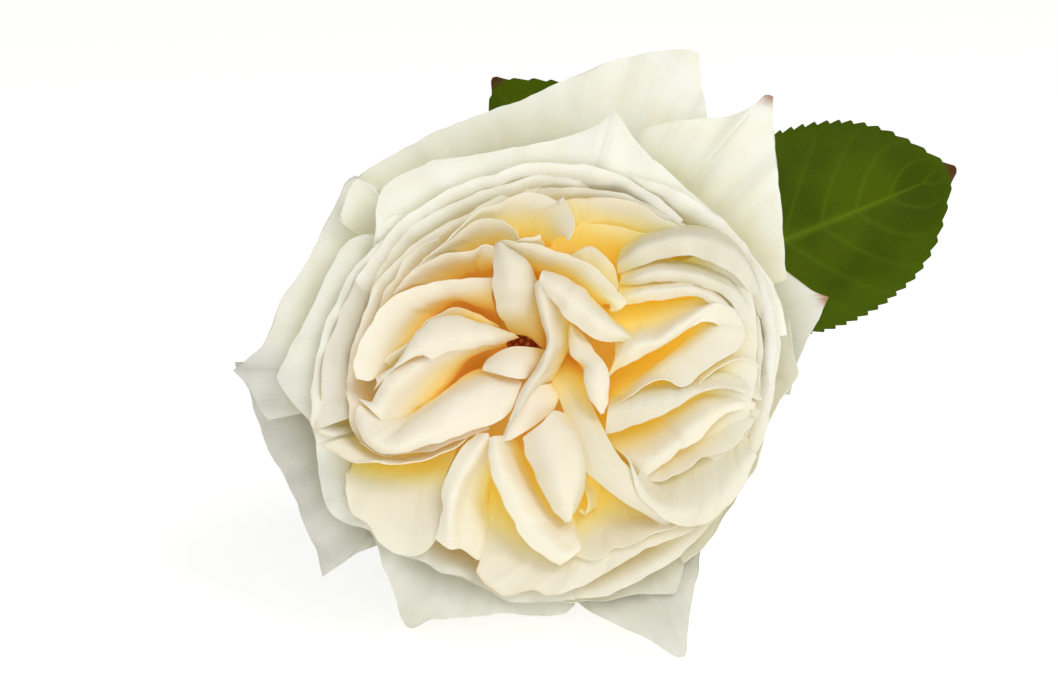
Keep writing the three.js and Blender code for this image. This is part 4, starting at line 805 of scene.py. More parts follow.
def cup_face(rim):
    """The face of a cup petal, which stands up from the middle of the flower to its rim."""
    rim = np.array(rim, float)
    rows = []
    for out, up in CUP_STEPS:
        flat = CENTRE + (rim[:, :2] - CENTRE) * out
        rows.append(seen(np.concatenate([flat, rim[:, 2:] * up * CUP_HEIGHT], -1)))
    return row_grid(rows, CUP_STEP)


def windows(field, reach):
    """Each cell of a field with its neighbours up to a reach away, as the last two axes."""
    padded = np.pad(field, reach, mode="edge")
    return np.lib.stride_tricks.sliding_window_view(padded, (2 * reach + 1, 2 * reach + 1))


class Lid:
    """The highest of all petals over each cell of the face, widened and evened out."""

    def __init__(self, grids):
        highest = np.zeros((LID_CELLS, LID_CELLS))
        for grid in grids:
            column, row = np.round(self.cells_of(grid)).astype(int)
            np.maximum.at(highest, (column, row), grid[..., 2])
        self.height = windows(windows(highest, LID_WIDEN).max((-2, -1)), LID_WIDEN).mean((-2, -1))

    @staticmethod
    def cells_of(grid):
        return grid[..., 0] / LID_CELL + LID_CELLS / 2, grid[..., 1] / LID_CELL + LID_CELLS / 2

    def hollow(self, grid, early=0.0):
        """0 at the top of the flower, up to 1 deep in its gaps, and so many mm earlier where told."""
        column, row = self.cells_of(grid)
        left, low = np.floor(column).astype(int), np.floor(row).astype(int)
        aside, up = column - left, row - low
        below = self.height[left, low] * (1 - aside) + self.height[left + 1, low] * aside
        above = self.height[left, low + 1] * (1 - aside) + self.height[left + 1, low + 1] * aside
        depth = below * (1 - up) + above * up - grid[..., 2]
        return smooth(HOLLOW_FROM - early, HOLLOW_TO - early, depth)


# How far petals stand off their smooth face, in mm: the ruffle of the free edge, the swell of the face,
# fine creases, pleats and the nicks of the edge. The ruffle of a cup petal is its own.
OUTER_RELIEF = {"ruffle": 0.55, "swell": 0.5, "crease": 0.05, "pleat": 0.08, "nick": 0.15}
CUP_RELIEF = {"swell": 0.25, "crease": 0.05, "pleat": 0.25, "nick": 0.2}
ROSETTE_RELIEF = {"ruffle": 0.3, "swell": 0.15, "crease": 0.06, "pleat": 0.25, "nick": 0.25}

# Their waves: lengths in mm, where each begins and is whole between root and free edge, and by what share
# of their run they lean over. Creases also wind from side to side.
RUFFLE_WAVE = 17
RUFFLE_SPAN = (0.55, 1)
SWELL_WAVE = 31
SWELL_LEAN = 0.4
CREASE_WAVE = 5.5
CREASE_SPAN = (0.3, 0.8)
CREASE_LEAN = 0.3
CREASE_WIND = 0.6
CREASE_WIND_OVER = 6
PLEAT_WAVE = 23
PLEAT_FINE_WAVE = 8
PLEAT_SPAN = (0.2, 0.7)
PLEAT_LEAN = 0.25
NICK_WAVE = 13
NICK_PIECES = 5
NICK_SPAN = (0.75, 1)

# A petal has this share of its thickness at its margin, and all of it so many mm inside.
MARGIN_SHARE = 0.45
MARGIN_REACH = 1.6

# The veins of each petal start at a place of their own, up to so many mm along their pattern.
VEIN_START = 400


def petal_lift(across, run, down, relief):
    """How far each point of a petal stands off its smooth face."""
    ruffle = relief["ruffle"] * waves(across, RUFFLE_WAVE) * smooth(*RUFFLE_SPAN, down) ** 2
    swell = relief["swell"] * waves(across + SWELL_LEAN * run, SWELL_WAVE) * np.sin(math.pi * down)
    winding = across + CREASE_LEAN * run + CREASE_WIND * np.sin(run / CREASE_WIND_OVER)
    crease = relief["crease"] * waves(winding, CREASE_WAVE) * smooth(*CREASE_SPAN, down)
    ridges = np.maximum(waves(across + PLEAT_LEAN * run, PLEAT_WAVE), 0) ** 3
    pleat = relief["pleat"] * (ridges * waves(across, PLEAT_FINE_WAVE)) * smooth(*PLEAT_SPAN, down)
    return ruffle + swell + crease + pleat


def petal(shape, face, relief, **tones):
    """One petal: its face with its relief, thinner at its margin, and its tones."""
    grid, shares, down = face
    width = length_of(grid[:, -1])
    length = np.linalg.norm(np.diff(grid, axis=1), axis=-1).mean(axis=0).sum()
    across = shares[:, None] * width
    run = down[None, :] * length
    margin = np.minimum(np.minimum(across, width - across), (1 - down[None, :]) * length)
    lift = petal_lift(across, run, down, relief)
    slide = relief["nick"] * waves(across, NICK_WAVE, NICK_PIECES) * smooth(*NICK_SPAN, down)
    to_edge = unit(np.gradient(grid, axis=1))
    grid = grid + normals_of(grid) * lift[..., None] + to_edge * slide[..., None]
    thickness = PETAL_THICKNESS * (MARGIN_SHARE + (1 - MARGIN_SHARE) * smooth(0, MARGIN_REACH, margin))
    lanes = across + draw.uniform(0, VEIN_START)
    shape.sheet(grid, thickness, across=lanes, run=run, free=down[None, :], margin=margin,
                tone=draw.uniform(-1, 1), **tones)


# Zones of the face in mm from its middle: where each starts, is whole, is still whole and ends.
PEACH_ACROSS = (-40, -26, -2, 20)
PEACH_UP = (-23, -12, 12, 24)
RIGHT_ACROSS = (8, 18, 36, 44)
RIGHT_UP = (-18, -10)
LOWER_LEFT_ACROSS = (-4, -12)
LOWER_LEFT_UP = (-22, -20.5, -17, -14.5)
BOTTOM_UP = (-18, -27)
SHADE_ACROSS = (-36, -52)
SHADE_UP = (8, -8)

# By how many mm the yellow starts nearer to the tips on the right, and later in two other zones.
RIGHT_SOONER = 1.5
LOWER_LEFT_LATER = 4
BOTTOM_LATER = 1.5

# The shares of the hollows' colours, the peach and the painted shade that outer and cup petals take.
OUTER_DEEP = 0.1
CUP_DEEP = 0.3
CUP_WARM = 0.5
OUTER_SHADE = 0.5

# Two petal tips that have dried: how many mm of each are brown right through, and where that ends.
BROWN_TIPS = [[769, 95, 27], [829, 297, 27]]
BROWN_WHOLE = 0.78
BROWN_REACH = 2.6


def warmth(grid):
    """1 in the peach quarter on the left and about the heart, 0 in the yellow ones."""
    return band(grid[..., 0], *PEACH_ACROSS) * band(grid[..., 1], *PEACH_UP)


def sooner(grid):
    """By how many mm the yellow of a rosette petal starts nearer to its tip."""
    across, height = grid[..., 0], grid[..., 1]
    right = band(across, *RIGHT_ACROSS) * smooth(*RIGHT_UP, height)
    lower_left = band(height, *LOWER_LEFT_UP) * smooth(*LOWER_LEFT_ACROSS, across)
    return RIGHT_SOONER * right - LOWER_LEFT_LATER * lower_left - BOTTOM_LATER * smooth(*BOTTOM_UP, height)


def browned(grid):
    """1 at a dried tip, 0 a few mm away from it."""
    away = [np.linalg.norm((grid - seen(tip))[..., :2], axis=-1) for tip in BROWN_TIPS]
    return smooth(BROWN_REACH, BROWN_WHOLE, np.minimum(*away))


def shaded(grid):
    """1 at the low left side of the flower, which lies in its shade and takes more painted shade, 0
    elsewhere.
    """
    return smooth(*SHADE_ACROSS, grid[..., 0]) * smooth(*SHADE_UP, grid[..., 1])


def outer_petals(faces, lid):
    shape = Shape()
    for face, dull in faces:
        grid = face[0]
        # Outer petals take more painted shade at the low left of the flower.
        petal(shape, face, OUTER_RELIEF, warm=0.0, deep=OUTER_DEEP * lid.hollow(grid),
              dull=np.clip(dull + OUTER_SHADE * shaded(grid), 0, 1), brown=browned(grid))
    return shape


def cup_petals(faces, lid):
    shape = Shape()
    for face, ruffle, dull in faces:
        petal(shape, face, {**CUP_RELIEF, "ruffle": ruffle}, warm=CUP_WARM * warmth(face[0]),
              deep=CUP_DEEP * lid.hollow(face[0]), dull=dull, brown=0.0)
    return shape


def rosette_petals(faces, lid):
    shape = Shape()
    for face, dull in faces:
        grid = face[0]
        petal(shape, face, ROSETTE_RELIEF, warm=warmth(grid), deep=lid.hollow(grid, sooner(grid)),
              dull=dull, brown=0.0)
    return shape


# The smaller core that the petals stand out of: depth and radius.
CORE = [[0.5, 0.1], [0.5, 5.5], [2.2, 12.8], [5.5, 20.5], [11, 26], [18, 28], [24, 26], [27, 20],
        [27.5, 11], [26, 4.5]]
# Over these depths the core takes the hollows' colours and glow, which are partly painted shade and bounced
# light.
CORE_DEEP_FROM = 8
CORE_DEEP_TO = 16
CORE_TONES = {"warm": 0.6, "margin": 2.0, "across": 0.0, "run": 0.0, "free": 0.0, "tone": 0.0,
              "dull": 0.0, "brown": 0.0}

# The axis of a turned piece goes through places on the face, as they are seen at this depth.
AXIS_DEPTH = 20


def turned(shape, profile, low, high, sides, **values):
    """Rings [depth, radius] about an axis that leans from one place on the face to another."""
    depth, radius = profile.T
    share = (depth - depth[0]) / max(np.ptp(depth), 1e-6)
    places = low + np.outer(share, np.subtract(high, low))
    centres = seen(np.concatenate([places, np.full((len(share), 1), AXIS_DEPTH)], -1))
    centres[:, 2] = depth
    angles = ring_angles(sides)
    circle = np.stack([np.cos(angles), np.sin(angles), np.zeros(sides)], -1)
    shape.rings(centres[:, None] + radius[:, None, None] * circle, **values)


def smooth_profile(profile, step):
    profile = np.array(profile, float)
    return curve(profile, shares_between(knots_of(profile), length_of(profile), step))


def petal_core():
    shape = Shape()
    profile = smooth_profile(CORE, 1.5)
    deep = smooth(CORE_DEEP_FROM, CORE_DEEP_TO, profile[:, :1])
    turned(shape, profile, CENTRE, HEART, 72, deep=deep, **CORE_TONES)
    return shape


# Stamens

# The boss that carries the stamens: height over the floor of the heart, and radius.
HEART_FLOOR = 26.5 + GAP
HEART_BOSS = [[0, 0.1], [0, 2.4], [0.6, 3.4], [1.2, 2.6], [1.5, 0.1]]

# Stamens in a spiral: the turn from one to the next, how far out the last one is, the heights of their
# feet and tops, and the shares of their way out that lie at the foot and in the bend.
STAMEN_COUNT = 26
STAMEN_TURN = 2.4
STAMEN_RING = 3.6
STAMEN_FOOT = 0.8
STAMEN_TOP = 31.5
STAMEN_SPREAD = 1.6
FOOT_SHARE = 0.7
BEND_SHARE = 0.35
THREAD_RADIUS = 0.14
THREAD_TAPER = 0.04
ANTHER_HALF = 0.55
ANTHER_RADIUS = 0.36
ANTHER_END_RADIUS = 0.1
ANTHER_OUT = 0.3
ANTHER_UP = 0.95


def stamen(shape, k, middle):
    """A thread that bends out from the floor of the heart, with an anther on its end."""
    reach = STAMEN_RING * math.sqrt((k + 0.5) / STAMEN_COUNT)
    rise = STAMEN_TOP - draw.uniform(0, STAMEN_SPREAD) - HEART_FLOOR - STAMEN_FOOT
    out = spoke(k * STAMEN_TURN)[0]
    steps = np.linspace(0, 1, 7)
    path = middle + out * reach * FOOT_SHARE + np.outer(steps**2 * reach * BEND_SHARE, out)
    path[:, 2] = HEART_FLOOR + STAMEN_FOOT + rise * steps
    shape.tube(path, THREAD_RADIUS - THREAD_TAPER * steps, 8, pollen=0.0)
    lean = out * ANTHER_OUT + np.array([0, 0, ANTHER_UP])
    anther = path[-1] + np.outer(np.linspace(-ANTHER_HALF, ANTHER_HALF, 9), lean)
    belly = np.sin(math.pi * np.linspace(0.04, 0.96, 9)) ** 0.6
    shape.tube(anther, ANTHER_END_RADIUS + ANTHER_RADIUS * belly, 10, pollen=1.0)


def stamens():
    shape = Shape()
    boss = smooth_profile(np.array(HEART_BOSS) + [HEART_FLOOR, 0], 0.4)
    turned(shape, boss, HEART, HEART, 28, pollen=0.0)
    for k in range(STAMEN_COUNT):
        stamen(shape, k, seen([*HEART, AXIS_DEPTH]))
    return shape


# Hip and sepals

HIP_PROFILE = [[-HIP_HEIGHT, 0.1], [-HIP_HEIGHT, 2.6], [-HIP_HEIGHT + 2, 4.3], [-8, 6], [-5, HIP_RADIUS],
               [-2, 6], [0, 5], [0.3, 0.1]]
SEPAL_COUNT = 5

# A sepal's way from its root to its tip: reach out of the axis, depth and half its width.
SEPAL_SHAPE = [[3.5, -2.6, 2.2], [8, -2.2, 3.3], [13, -2.9, 3.7], [18, -6.5, 3.2], [21.5, -12, 2.2],
               [23, -18, 1.2], [23, -24, 0.4]]
SEPAL_TURN = 0.3
SEPAL_SWAY = 0.9
SEPAL_CUP = 0.35
SEPAL_KEEL = 0.25
SEPAL_KEEL_HALF = 0.12
SEPAL_TIP_HALF = 0.25
SEPAL_THICKNESS = 0.45
SEPAL_RIM_THINNER = 0.5

# Where the side lobes of a sepal stand along it, and how long they are.
SEPAL_LOBES = [(0.42, 3.2), (0.55, 2.6), (0.68, 2.0)]
LOBE_RADIUS = 0.42
LOBE_TIP_RADIUS = 0.06
LOBE_SAG = 1.1


def sepal(shape, k):
    """A cupped sepal with a keel, which sways a little to its side, and its lobes."""
    out, side = spoke(2 * math.pi * (k + SEPAL_TURN) / SEPAL_COUNT)
    outline = np.array(SEPAL_SHAPE, float)
    shares = np.linspace(0, 1, 44)
    reach, depth, half = along(outline, knots_of(outline[:, :2]), shares).T[..., None]
    half = np.maximum(half, SEPAL_TIP_HALF)
    across = np.linspace(-1, 1, 13)
    sway = (SEPAL_SWAY * np.sin(5 * shares + k) * shares)[:, None]
    keel = SEPAL_KEEL * np.exp(-(across / SEPAL_KEEL_HALF) ** 2)
    depths = depth + half * SEPAL_CUP * across**2 - keel
    axis = np.zeros((*depths.shape, 3))
    axis[..., :2] = seen([*CENTRE, 0])[:2]
    axis[..., 2] = depths
    grid = axis + reach[..., None] * out + (across * half + sway)[..., None] * side
    thickness = SEPAL_THICKNESS * (1 - SEPAL_RIM_THINNER * across**2)
    shape.sheet(grid, thickness, tip=shares[:, None], down=0.0)
    for place, length in SEPAL_LOBES:
        for hand in (-1, 1):
            if (k + hand) % 3 != 0:
                root = grid[round(place * (len(grid) - 1)), -2 if hand > 0 else 1]
                lobe(shape, root, length * hand, out, side)


def lobe(shape, root, length, out, side):
    """A narrow side lobe on the margin of a sepal, which hangs down towards its tip."""
    steps = np.linspace(0, 1, 9)
    sag = np.outer(steps**1.5 * LOBE_SAG, out * 0.4 + np.array([0, 0, -0.9]))
    path = root + np.outer(steps * length, side) + sag
    shape.tube(path, LOBE_RADIUS * (1 - steps) ** 0.7 + LOBE_TIP_RADIUS, 8, tip=0.8, down=0.0)


def calyx():
    shape = Shape()
    turned(shape, smooth_profile(HIP_PROFILE, 0.6), CENTRE, CENTRE, 48, tip=0.0, down=1.0)
    for k in range(SEPAL_COUNT):
        sepal(shape, k)
    return shape


# Stem with its prickles

STEM_PATH = [[2.2, -3.6, -HIP_HEIGHT - GAP], [3, -3.4, -45], [5, -1.4, -95], [3.4, 0.9, -150],
             [0, 2.2, -STEM_LENGTH]]
STEM_SIDES = 40

# Shares of the stem's radius: at its top, what it gains to its cut end, its ribs and its node. The ribs
# are few coarse ones and more fine ones.
STEM_TOP_SHARE = 0.86
STEM_GAIN = 0.2
RIBS = 5
RIB_HEIGHT = 0.018
RIB_TURN = 1.3
FINE_RIBS = 9
FINE_RIB_HEIGHT = 0.012
NODE_HEIGHT = 0.035

# Places along the stem: the node that carries the leaf, half its length and where the cut begins.
LEAF_NODE = 0.305
NODE_HALF = 0.012
CUT_FROM = 0.9985

# Prickles: how many, where along the stem and at what angles, the share of the stem's radius where their
# foot starts inside it, and their sizes in mm.
PRICKLE_COUNT = 7
PRICKLE_FROM = 0.2
PRICKLE_OVER = 0.68
PRICKLE_START = 0.9
PRICKLE_TURN = 2.4
PRICKLE_ROOT = 0.6
PRICKLE_LENGTH = 5
PRICKLE_HOOK = 2.6
PRICKLE_TALL = 3.1
PRICKLE_WIDE = 1.35
PRICKLE_TIP = 0.1
PRICKLE_TIP_WIDE = 0.09


def prickle(shape, k):
    """A flattened hook with a long foot along the stem."""
    share = PRICKLE_FROM + PRICKLE_OVER * k / (PRICKLE_COUNT - 1)
    out, side = spoke(PRICKLE_START + k * PRICKLE_TURN)
    down = np.array([0, 0, -1.0])
    steps = np.linspace(0, 1, 16)
    reach = STEM_RADIUS * PRICKLE_ROOT + steps * (STEM_RADIUS * (1 - PRICKLE_ROOT) + PRICKLE_LENGTH)
    spine = curve(STEM_PATH, [share])[0] + np.outer(reach, out) + np.outer(PRICKLE_HOOK * steps**1.8, down)
    tall = (PRICKLE_TALL * (1 - steps) ** 1.7 + PRICKLE_TIP)[:, None, None]
    wide = (PRICKLE_WIDE * (1 - steps) ** 1.3 + PRICKLE_TIP_WIDE)[:, None, None]
    angles = ring_angles(16)[:, None]
    rings = spine[:, None] + tall * np.cos(angles) * down + wide * np.sin(angles) * side
    shape.rings(rings, tip=steps[:, None], cut=0.0, run=share * STEM_LENGTH)


def stem():
    """A stem that is thicker at its cut end, faintly ribbed, with a swollen node at the leaf."""
    shape = Shape()
    steps = np.linspace(0, 1, 240)
    angles = ring_angles(STEM_SIDES)
    ribs = 1 + RIB_HEIGHT * np.sin(RIBS * angles + RIB_TURN) + FINE_RIB_HEIGHT * np.sin(FINE_RIBS * angles)
    node = 1 + NODE_HEIGHT * np.exp(-((steps[:, None] - LEAF_NODE) / NODE_HALF) ** 2)
    radii = STEM_RADIUS * (STEM_TOP_SHARE + STEM_GAIN * steps[:, None]) * ribs * node
    shape.tube(curve(STEM_PATH, steps), radii, STEM_SIDES, tip=0.0, cut=smooth(CUT_FROM, 1, steps),
               run=steps * STEM_LENGTH)
    for k in range(PRICKLE_COUNT):
        prickle(shape, k)
    return shape


# One leaf of three leaflets on its stalk

# A leaflet runs from its base to its tip; half is half its width, and tilt turns its face aside.
LEAFLETS = [
    {"base": [711, 268, -31], "tip": [956, 169, -39], "half": 20.6, "teeth": 23, "tilt": 0.12},
    {"base": [656, 272, -35], "tip": [493, 78, -37], "half": 17, "teeth": 20, "tilt": -0.1},
    {"base": [656, 268, -36], "tip": [703, 462, -44], "half": 13, "teeth": 18, "tilt": 0.1},
]

# Half width of a leaflet as a share of its widest, at places from its base to its tip.
LEAFLET_WIDTHS = [[0, 0.02], [0.03, 0.3], [0.08, 0.58], [0.15, 0.82], [0.25, 0.96], [0.36, 1], [0.48, 0.985],
                  [0.6, 0.92], [0.7, 0.81], [0.79, 0.64], [0.87, 0.42], [0.92, 0.25], [0.955, 0.13],
                  [0.98, 0.06], [1, 0.012]]

# A leaflet is folded along its midrib, curls down to its rim and arches towards its tip. It is quilted
# between its veins, which lie in grooves, and its rim waves. Arch, quilt, grooves and waves are in mm.
LEAFLET_COLUMNS = 91
LEAFLET_FOLD = 0.16
LEAFLET_CURL = 0.012
LEAFLET_ARCH = 3.2
QUILT = 0.07
RIB_GROOVE = 0.2
VEIN_GROOVE = 0.04
RIM_LIFT = 0.5
RIM_RUN = 70
RIM_WAVE = 23
RIM_POWER = 10
RIB_THICKER = 1.6
RIM_THINNER = 0.6

# Teeth: their height as a share of the width, their lean to the tip, and where each turns back.
TOOTH = 0.05
TOOTH_LEAN = 0.012
TOOTH_TURN = 0.72
TOOTH_ROWS = 7
TOOTHED_SPAN = (0.02, 0.1)
BROWN_TIP_SPAN = (0.945, 0.985)
BROWN_TOOTH = 0.2

# How many side veins there are, how they slant and bend to the rim, and half of what they take of the
# way from one to the next. The midrib's half is a share of the leaflet's, and grows less to the tip.
SIDE_VEINS = 7
VEIN_SLANT = 0.3
VEIN_BEND = 1.15
VEIN_HALF = 0.07
RIB_HALF = 0.045
RIB_TAPER_TO = 1.25

# The stalk's way from the stem to the leaflets, in mm in the bloom frame, and its radii.
LEAF_STALK = [[8.2, -0.4, -72], [12.5, 4, -62], [19, 11, -48], [26.2, 16.6, -36], [38.6, 17.5, -31]]
LEAF_STALK_RADII = [1.9, 1.2, 1.1, 1.05, 0.8]

# The wings at the foot of the stalk: from where to where along it, from where they stand free of it and
# how steeply, and their least and further width and their thickness in mm.
WING_FROM = 0.02
WING_TO = 0.3
WING_FREE = 0.22
WING_FREE_SLOPE = 12
WING_ROOT = 0.7
WING_LEAST = 0.2
WING_WIDTH = 2.0
WING_THICKNESS = 0.3


def leaf_veins(share, across):
    """How much of a side vein and of the midrib lies at a place on a leaflet."""
    place = (share - VEIN_SLANT * np.abs(across) ** VEIN_BEND) * SIDE_VEINS
    off = np.abs(place - np.round(place))
    fade = (1 - np.abs(across)) ** 0.5 * smooth(0, 0.06, share) * smooth(1, 0.85, share)
    vein = np.exp(-(off / VEIN_HALF) ** 2) * fade * (np.round(place) >= 0)
    return vein, np.exp(-(across / (RIB_HALF * (RIB_TAPER_TO - share))) ** 2)


def leaf_lift(share, across, width, rim):
    """How far a leaflet stands off its plane: folded and curled, quilted, grooved and wavy."""
    vein, rib = leaf_veins(share, across)
    field = (share - VEIN_SLANT * np.abs(across)) * SIDE_VEINS % 1
    lift = LEAFLET_FOLD * np.abs(width) - LEAFLET_CURL * width**2
    lift = lift + QUILT * np.sin(math.pi * field) * (1 - rim) - RIB_GROOVE * rib - VEIN_GROOVE * vein
    return lift + RIM_LIFT * waves(share * RIM_RUN, RIM_WAVE) * across**2 * np.sign(across)


def leaflet(shape, base, tip, half, teeth, tilt):
    """A cupped leaflet from its base to its tip, with a toothed rim."""
    foot = seen(base)
    way = seen(tip) - foot
    side = unit(np.cross(way, [0, 0, 1]))
    front = unit(unit(np.cross(side, way)) + side * tilt)
    share = np.linspace(0, 1, teeth * TOOTH_ROWS + 1)[:, None]
    across = np.linspace(1, -1, LEAFLET_COLUMNS)[None, :]
    beat = (share * teeth) % 1
    tooth = beat * smooth(1.0, TOOTH_TURN, beat) * smooth(*TOOTHED_SPAN, share)
    rim = np.abs(across) ** RIM_POWER
    width = half * read_table(LEAFLET_WIDTHS, share) * across * (1 + TOOTH * tooth * rim)
    arch = LEAFLET_ARCH * np.sin(math.pi * share**0.9)
    lift = arch + leaf_lift(share, across, width, rim)
    length = share + TOOTH_LEAN * tooth * rim
    grid = foot + length[..., None] * way + width[..., None] * side + lift[..., None] * front
    vein, rib = leaf_veins(share, across)
    brown = smooth(*BROWN_TIP_SPAN, share) + BROWN_TOOTH * rim * smooth(0.5, 0.9, tooth)
    thickness = LEAF_THICKNESS * (1 + RIB_THICKER * rib - RIM_THINNER * rim)
    shape.sheet(grid, thickness, vein=np.maximum(0.4 * vein, rib), tip=np.clip(brown, 0, 1),
                rim=np.abs(across))


def stipule(shape, hand):
    """A narrow wing along the foot of the leaf stalk, free at its tip."""
    shares = np.linspace(WING_FROM, WING_TO, 24)
    line = curve(LEAF_STALK, shares)
    side = np.cross(unit(np.gradient(line, axis=0)), [0.6, -0.75, 0.3]) * hand
    steps = np.linspace(0, 1, 8)
    run = (shares - WING_FROM) / (WING_TO - WING_FROM)
    wide = WING_WIDTH * smooth(0, 0.2, run) * smooth(1.02, 0.75, run) + WING_LEAST
    free = np.maximum(shares - WING_FREE, 0) * WING_FREE_SLOPE
    reach = WING_ROOT + steps[None, :, None] * (wide + free)[:, None, None]
    shape.sheet(line[:, None] + reach * side[:, None], WING_THICKNESS, vein=0.0, tip=0.3 * steps[None, :],
                rim=steps[None, :])


def leaf():
    shape = Shape()
    steps = np.linspace(0, 1, 90)
    radii = along(np.array(LEAF_STALK_RADII), knots_of(np.array(LEAF_STALK)), steps)
    shape.tube(curve(LEAF_STALK, steps), radii, 20, vein=0.7, tip=0.25, rim=0.0)
    for one in LEAFLETS:
        leaflet(shape, **one)
    for hand in (-1, 1):
        stipule(shape, hand)
    return shape


# Materials

def colour(code):
    """A screen colour such as #F4F1E2 in the linear values that the shaders take."""
    parts = np.array([int(code[i:i + 2], 16) for i in (1, 3, 5)]) / 255
    linear = np.where(parts <= 0.04045, parts / 12.92, ((parts + 0.055) / 1.055) ** 2.4)
    return (*linear, 1.0)


class Look:
    """A material whose nodes are joined as they are made, and whose base is painted in layers.

    A colour is given as a code such as #F4F1E2 or as the output of a node.
    """

    def __init__(self, name):
        self.material = bpy.data.materials.new(name)
        self.material.use_nodes = True
        self.material.cycles.emission_sampling = "NONE"
        self.tree = self.material.node_tree
        self.tree.nodes.clear()
        self.base = None

    def feed(self, socket, value):
        if isinstance(value, bpy.types.NodeSocket):
            self.tree.links.new(value, socket)
        else:
            socket.default_value = colour(value) if isinstance(value, str) else value

    def add(self, kind, inputs=None, **settings):
        node = self.tree.nodes.new(kind)
        for key, value in settings.items():
            setattr(node, key, value)
        for key, value in (inputs or {}).items():
            self.feed(node.inputs[key], value)
        return node

    def read(self, name):
        return self.add("ShaderNodeAttribute", attribute_name=name).outputs["Fac"]

    def times(self, a, b):
        return self.add("ShaderNodeMath", {0: a, 1: b}, operation="MULTIPLY").outputs[0]

    def rest_of(self, share):
        return self.add("ShaderNodeMath", {0: 1.0, 1: share}, operation="SUBTRACT").outputs[0]

    def span(self, value, low, high, to_low=0.0, to_high=1.0):
        """A soft step from one number to another while a value goes from low to high."""
        inputs = {"Value": value, "From Min": low, "From Max": high, "To Min": to_low, "To Max": to_high}
        return self.add("ShaderNodeMapRange", inputs, interpolation_type="SMOOTHSTEP").outputs[0]

    def mix(self, share, a, b):
        return self.add("ShaderNodeMix", {0: share, 6: a, 7: b}, data_type="RGBA").outputs[2]

    def paint(self, share, over):
        """Lays a colour over the base, which it hides as far as a share says."""
        self.base = self.mix(share, self.base, over)

    def position(self):
        return self.add("ShaderNodeTexCoord").outputs["Object"]

    def noise(self, scale, detail=2.0, roughness=0.5, place=None):
        inputs = {"Scale": scale, "Detail": detail, "Roughness": roughness}
        inputs["Vector"] = self.position() if place is None else place
        return self.add("ShaderNodeTexNoise", inputs).outputs["Fac"]

    def bump(self, height, strength, distance, below=None):
        inputs = {"Height": height, "Strength": strength, "Distance": distance}
        if below is not None:
            inputs["Normal"] = below
        return self.add("ShaderNodeBump", inputs).outputs[0]

    def surface(self, inputs, let_through=0.0):
        """The finished material; some of the light goes through a thin sheet and takes its colour."""
        shader = self.add("ShaderNodeBsdfPrincipled", {"Base Color": self.base, **inputs}).outputs[0]
        if let_through:
            through = self.add("ShaderNodeBsdfTranslucent", {"Color": self.base}).outputs[0]
            shader = self.add("ShaderNodeMixShader", {0: let_through, 1: shader, 2: through}).outputs[0]
        self.add("ShaderNodeOutputMaterial", {"Surface": shader})
        return self.material


# Paints of the petals. Gold lies in the hollows and pit in the deepest of them: partly the petals' own
# yellow, and partly painted shade and painted light bounced between the petals. Warm_depth is painted shade
# in the deepest warm hollows, shine and pit_shine are the colours of the painted glow there, and shade is
# the colour of the painted shade. Those for the peach quarter are called warm.
ALL_PAINTS = {"vein": "#F7F2DA", "warm_pit": "#FAE480", "warm_depth": "#EDBE6A", "dried": "#B98A62",
              "warm_pit_shine": "#F2CA3C"}
INNER_PAINTS = {**ALL_PAINTS, "pit": "#FBEE8A", "shine": "#F4F07C", "pit_shine": "#F4DA44"}
OUTER_PAINTS = {**ALL_PAINTS, "body": "#FBFBF0", "edge": "#FCFCF4", "peach": "#FBFAEE", "fleck": "#F7F2D6",
                "gold": "#F9F5DC", "warm_gold": "#F8F0CE", "pit": "#F6F1CC", "shade": "#B8B6A8",
                "blush": "#A98D5E", "shine": "#F6F2D4", "pit_shine": "#F6EFCC"}
CUP_PAINTS = {**INNER_PAINTS, "body": "#FCFBF2", "edge": "#FCFBF4", "peach": "#FCF8EE", "fleck": "#F9F4E0",
              "gold": "#FDF7D2", "warm_gold": "#FBF1C0", "shade": "#C2BA98", "blush": "#E8D8B0"}
ROSETTE_PAINTS = {**INNER_PAINTS, "body": "#FAF6E0", "edge": "#FAF8EC", "peach": "#FBF2DC",
                  "fleck": "#F9F3D8", "gold": "#FCF5BE", "warm_gold": "#FCF0B4", "shade": "#C8BF98",
                  "blush": "#F0DDB8"}
PETAL_GLOW = 0.1
ROSETTE_GLOW = 0.11
LIGHT_THROUGH_PETAL = 0.25


def paint_petal(look, paints, veins, broad):
    """The layers from a petal's body to its dried tip, shared out by what its points tell; among them are
    painted shade and the painted colours of the hollows.
    """
    free, deep, warm, dull = [look.read(name) for name in ("free", "deep", "warm", "dull")]
    look.base = look.mix(warm, paints["body"], paints["peach"])
    look.paint(look.span(free, 0.45, 1.0, to_high=0.8), paints["edge"])
    look.paint(look.span(broad, 0.35, 0.75, to_high=0.1), paints["peach"])
    look.paint(look.span(veins, 0.5, 0.75, to_high=0.2), paints["vein"])
    patches = look.noise(150.0, detail=4.0, roughness=0.62)
    flecks = look.span(patches, 0.42, 0.68, to_high=0.3)
    look.paint(look.times(flecks, look.rest_of(dull)), paints["fleck"])
    # The hollows' gold, pit and warm depth, by how far below the lid a point lies: partly the petals' own
    # yellow, partly painted shade and bounced light.
    look.paint(look.span(deep, 0.0, 0.6), look.mix(warm, paints["gold"], paints["warm_gold"]))
    look.paint(look.span(deep, 0.5, 1.0), look.mix(warm, paints["pit"], paints["warm_pit"]))
    look.paint(look.times(look.span(deep, 0.85, 1.0), warm), paints["warm_depth"])
    # Painted shade, lightened in patches towards the free edge as a painted silky sheen.
    shade_less_sheen = look.span(free, 0.8, 1.0, 0.57, look.span(patches, 0.4, 0.65, 0.4, 0.55))
    look.paint(look.times(dull, shade_less_sheen), paints["shade"])
    lip = look.span(look.read("margin"), 0.5, 0.0)
    look.paint(look.times(lip, look.span(broad, 0.52, 0.7, to_high=0.5)), paints["blush"])
    look.paint(look.read("brown"), paints["dried"])


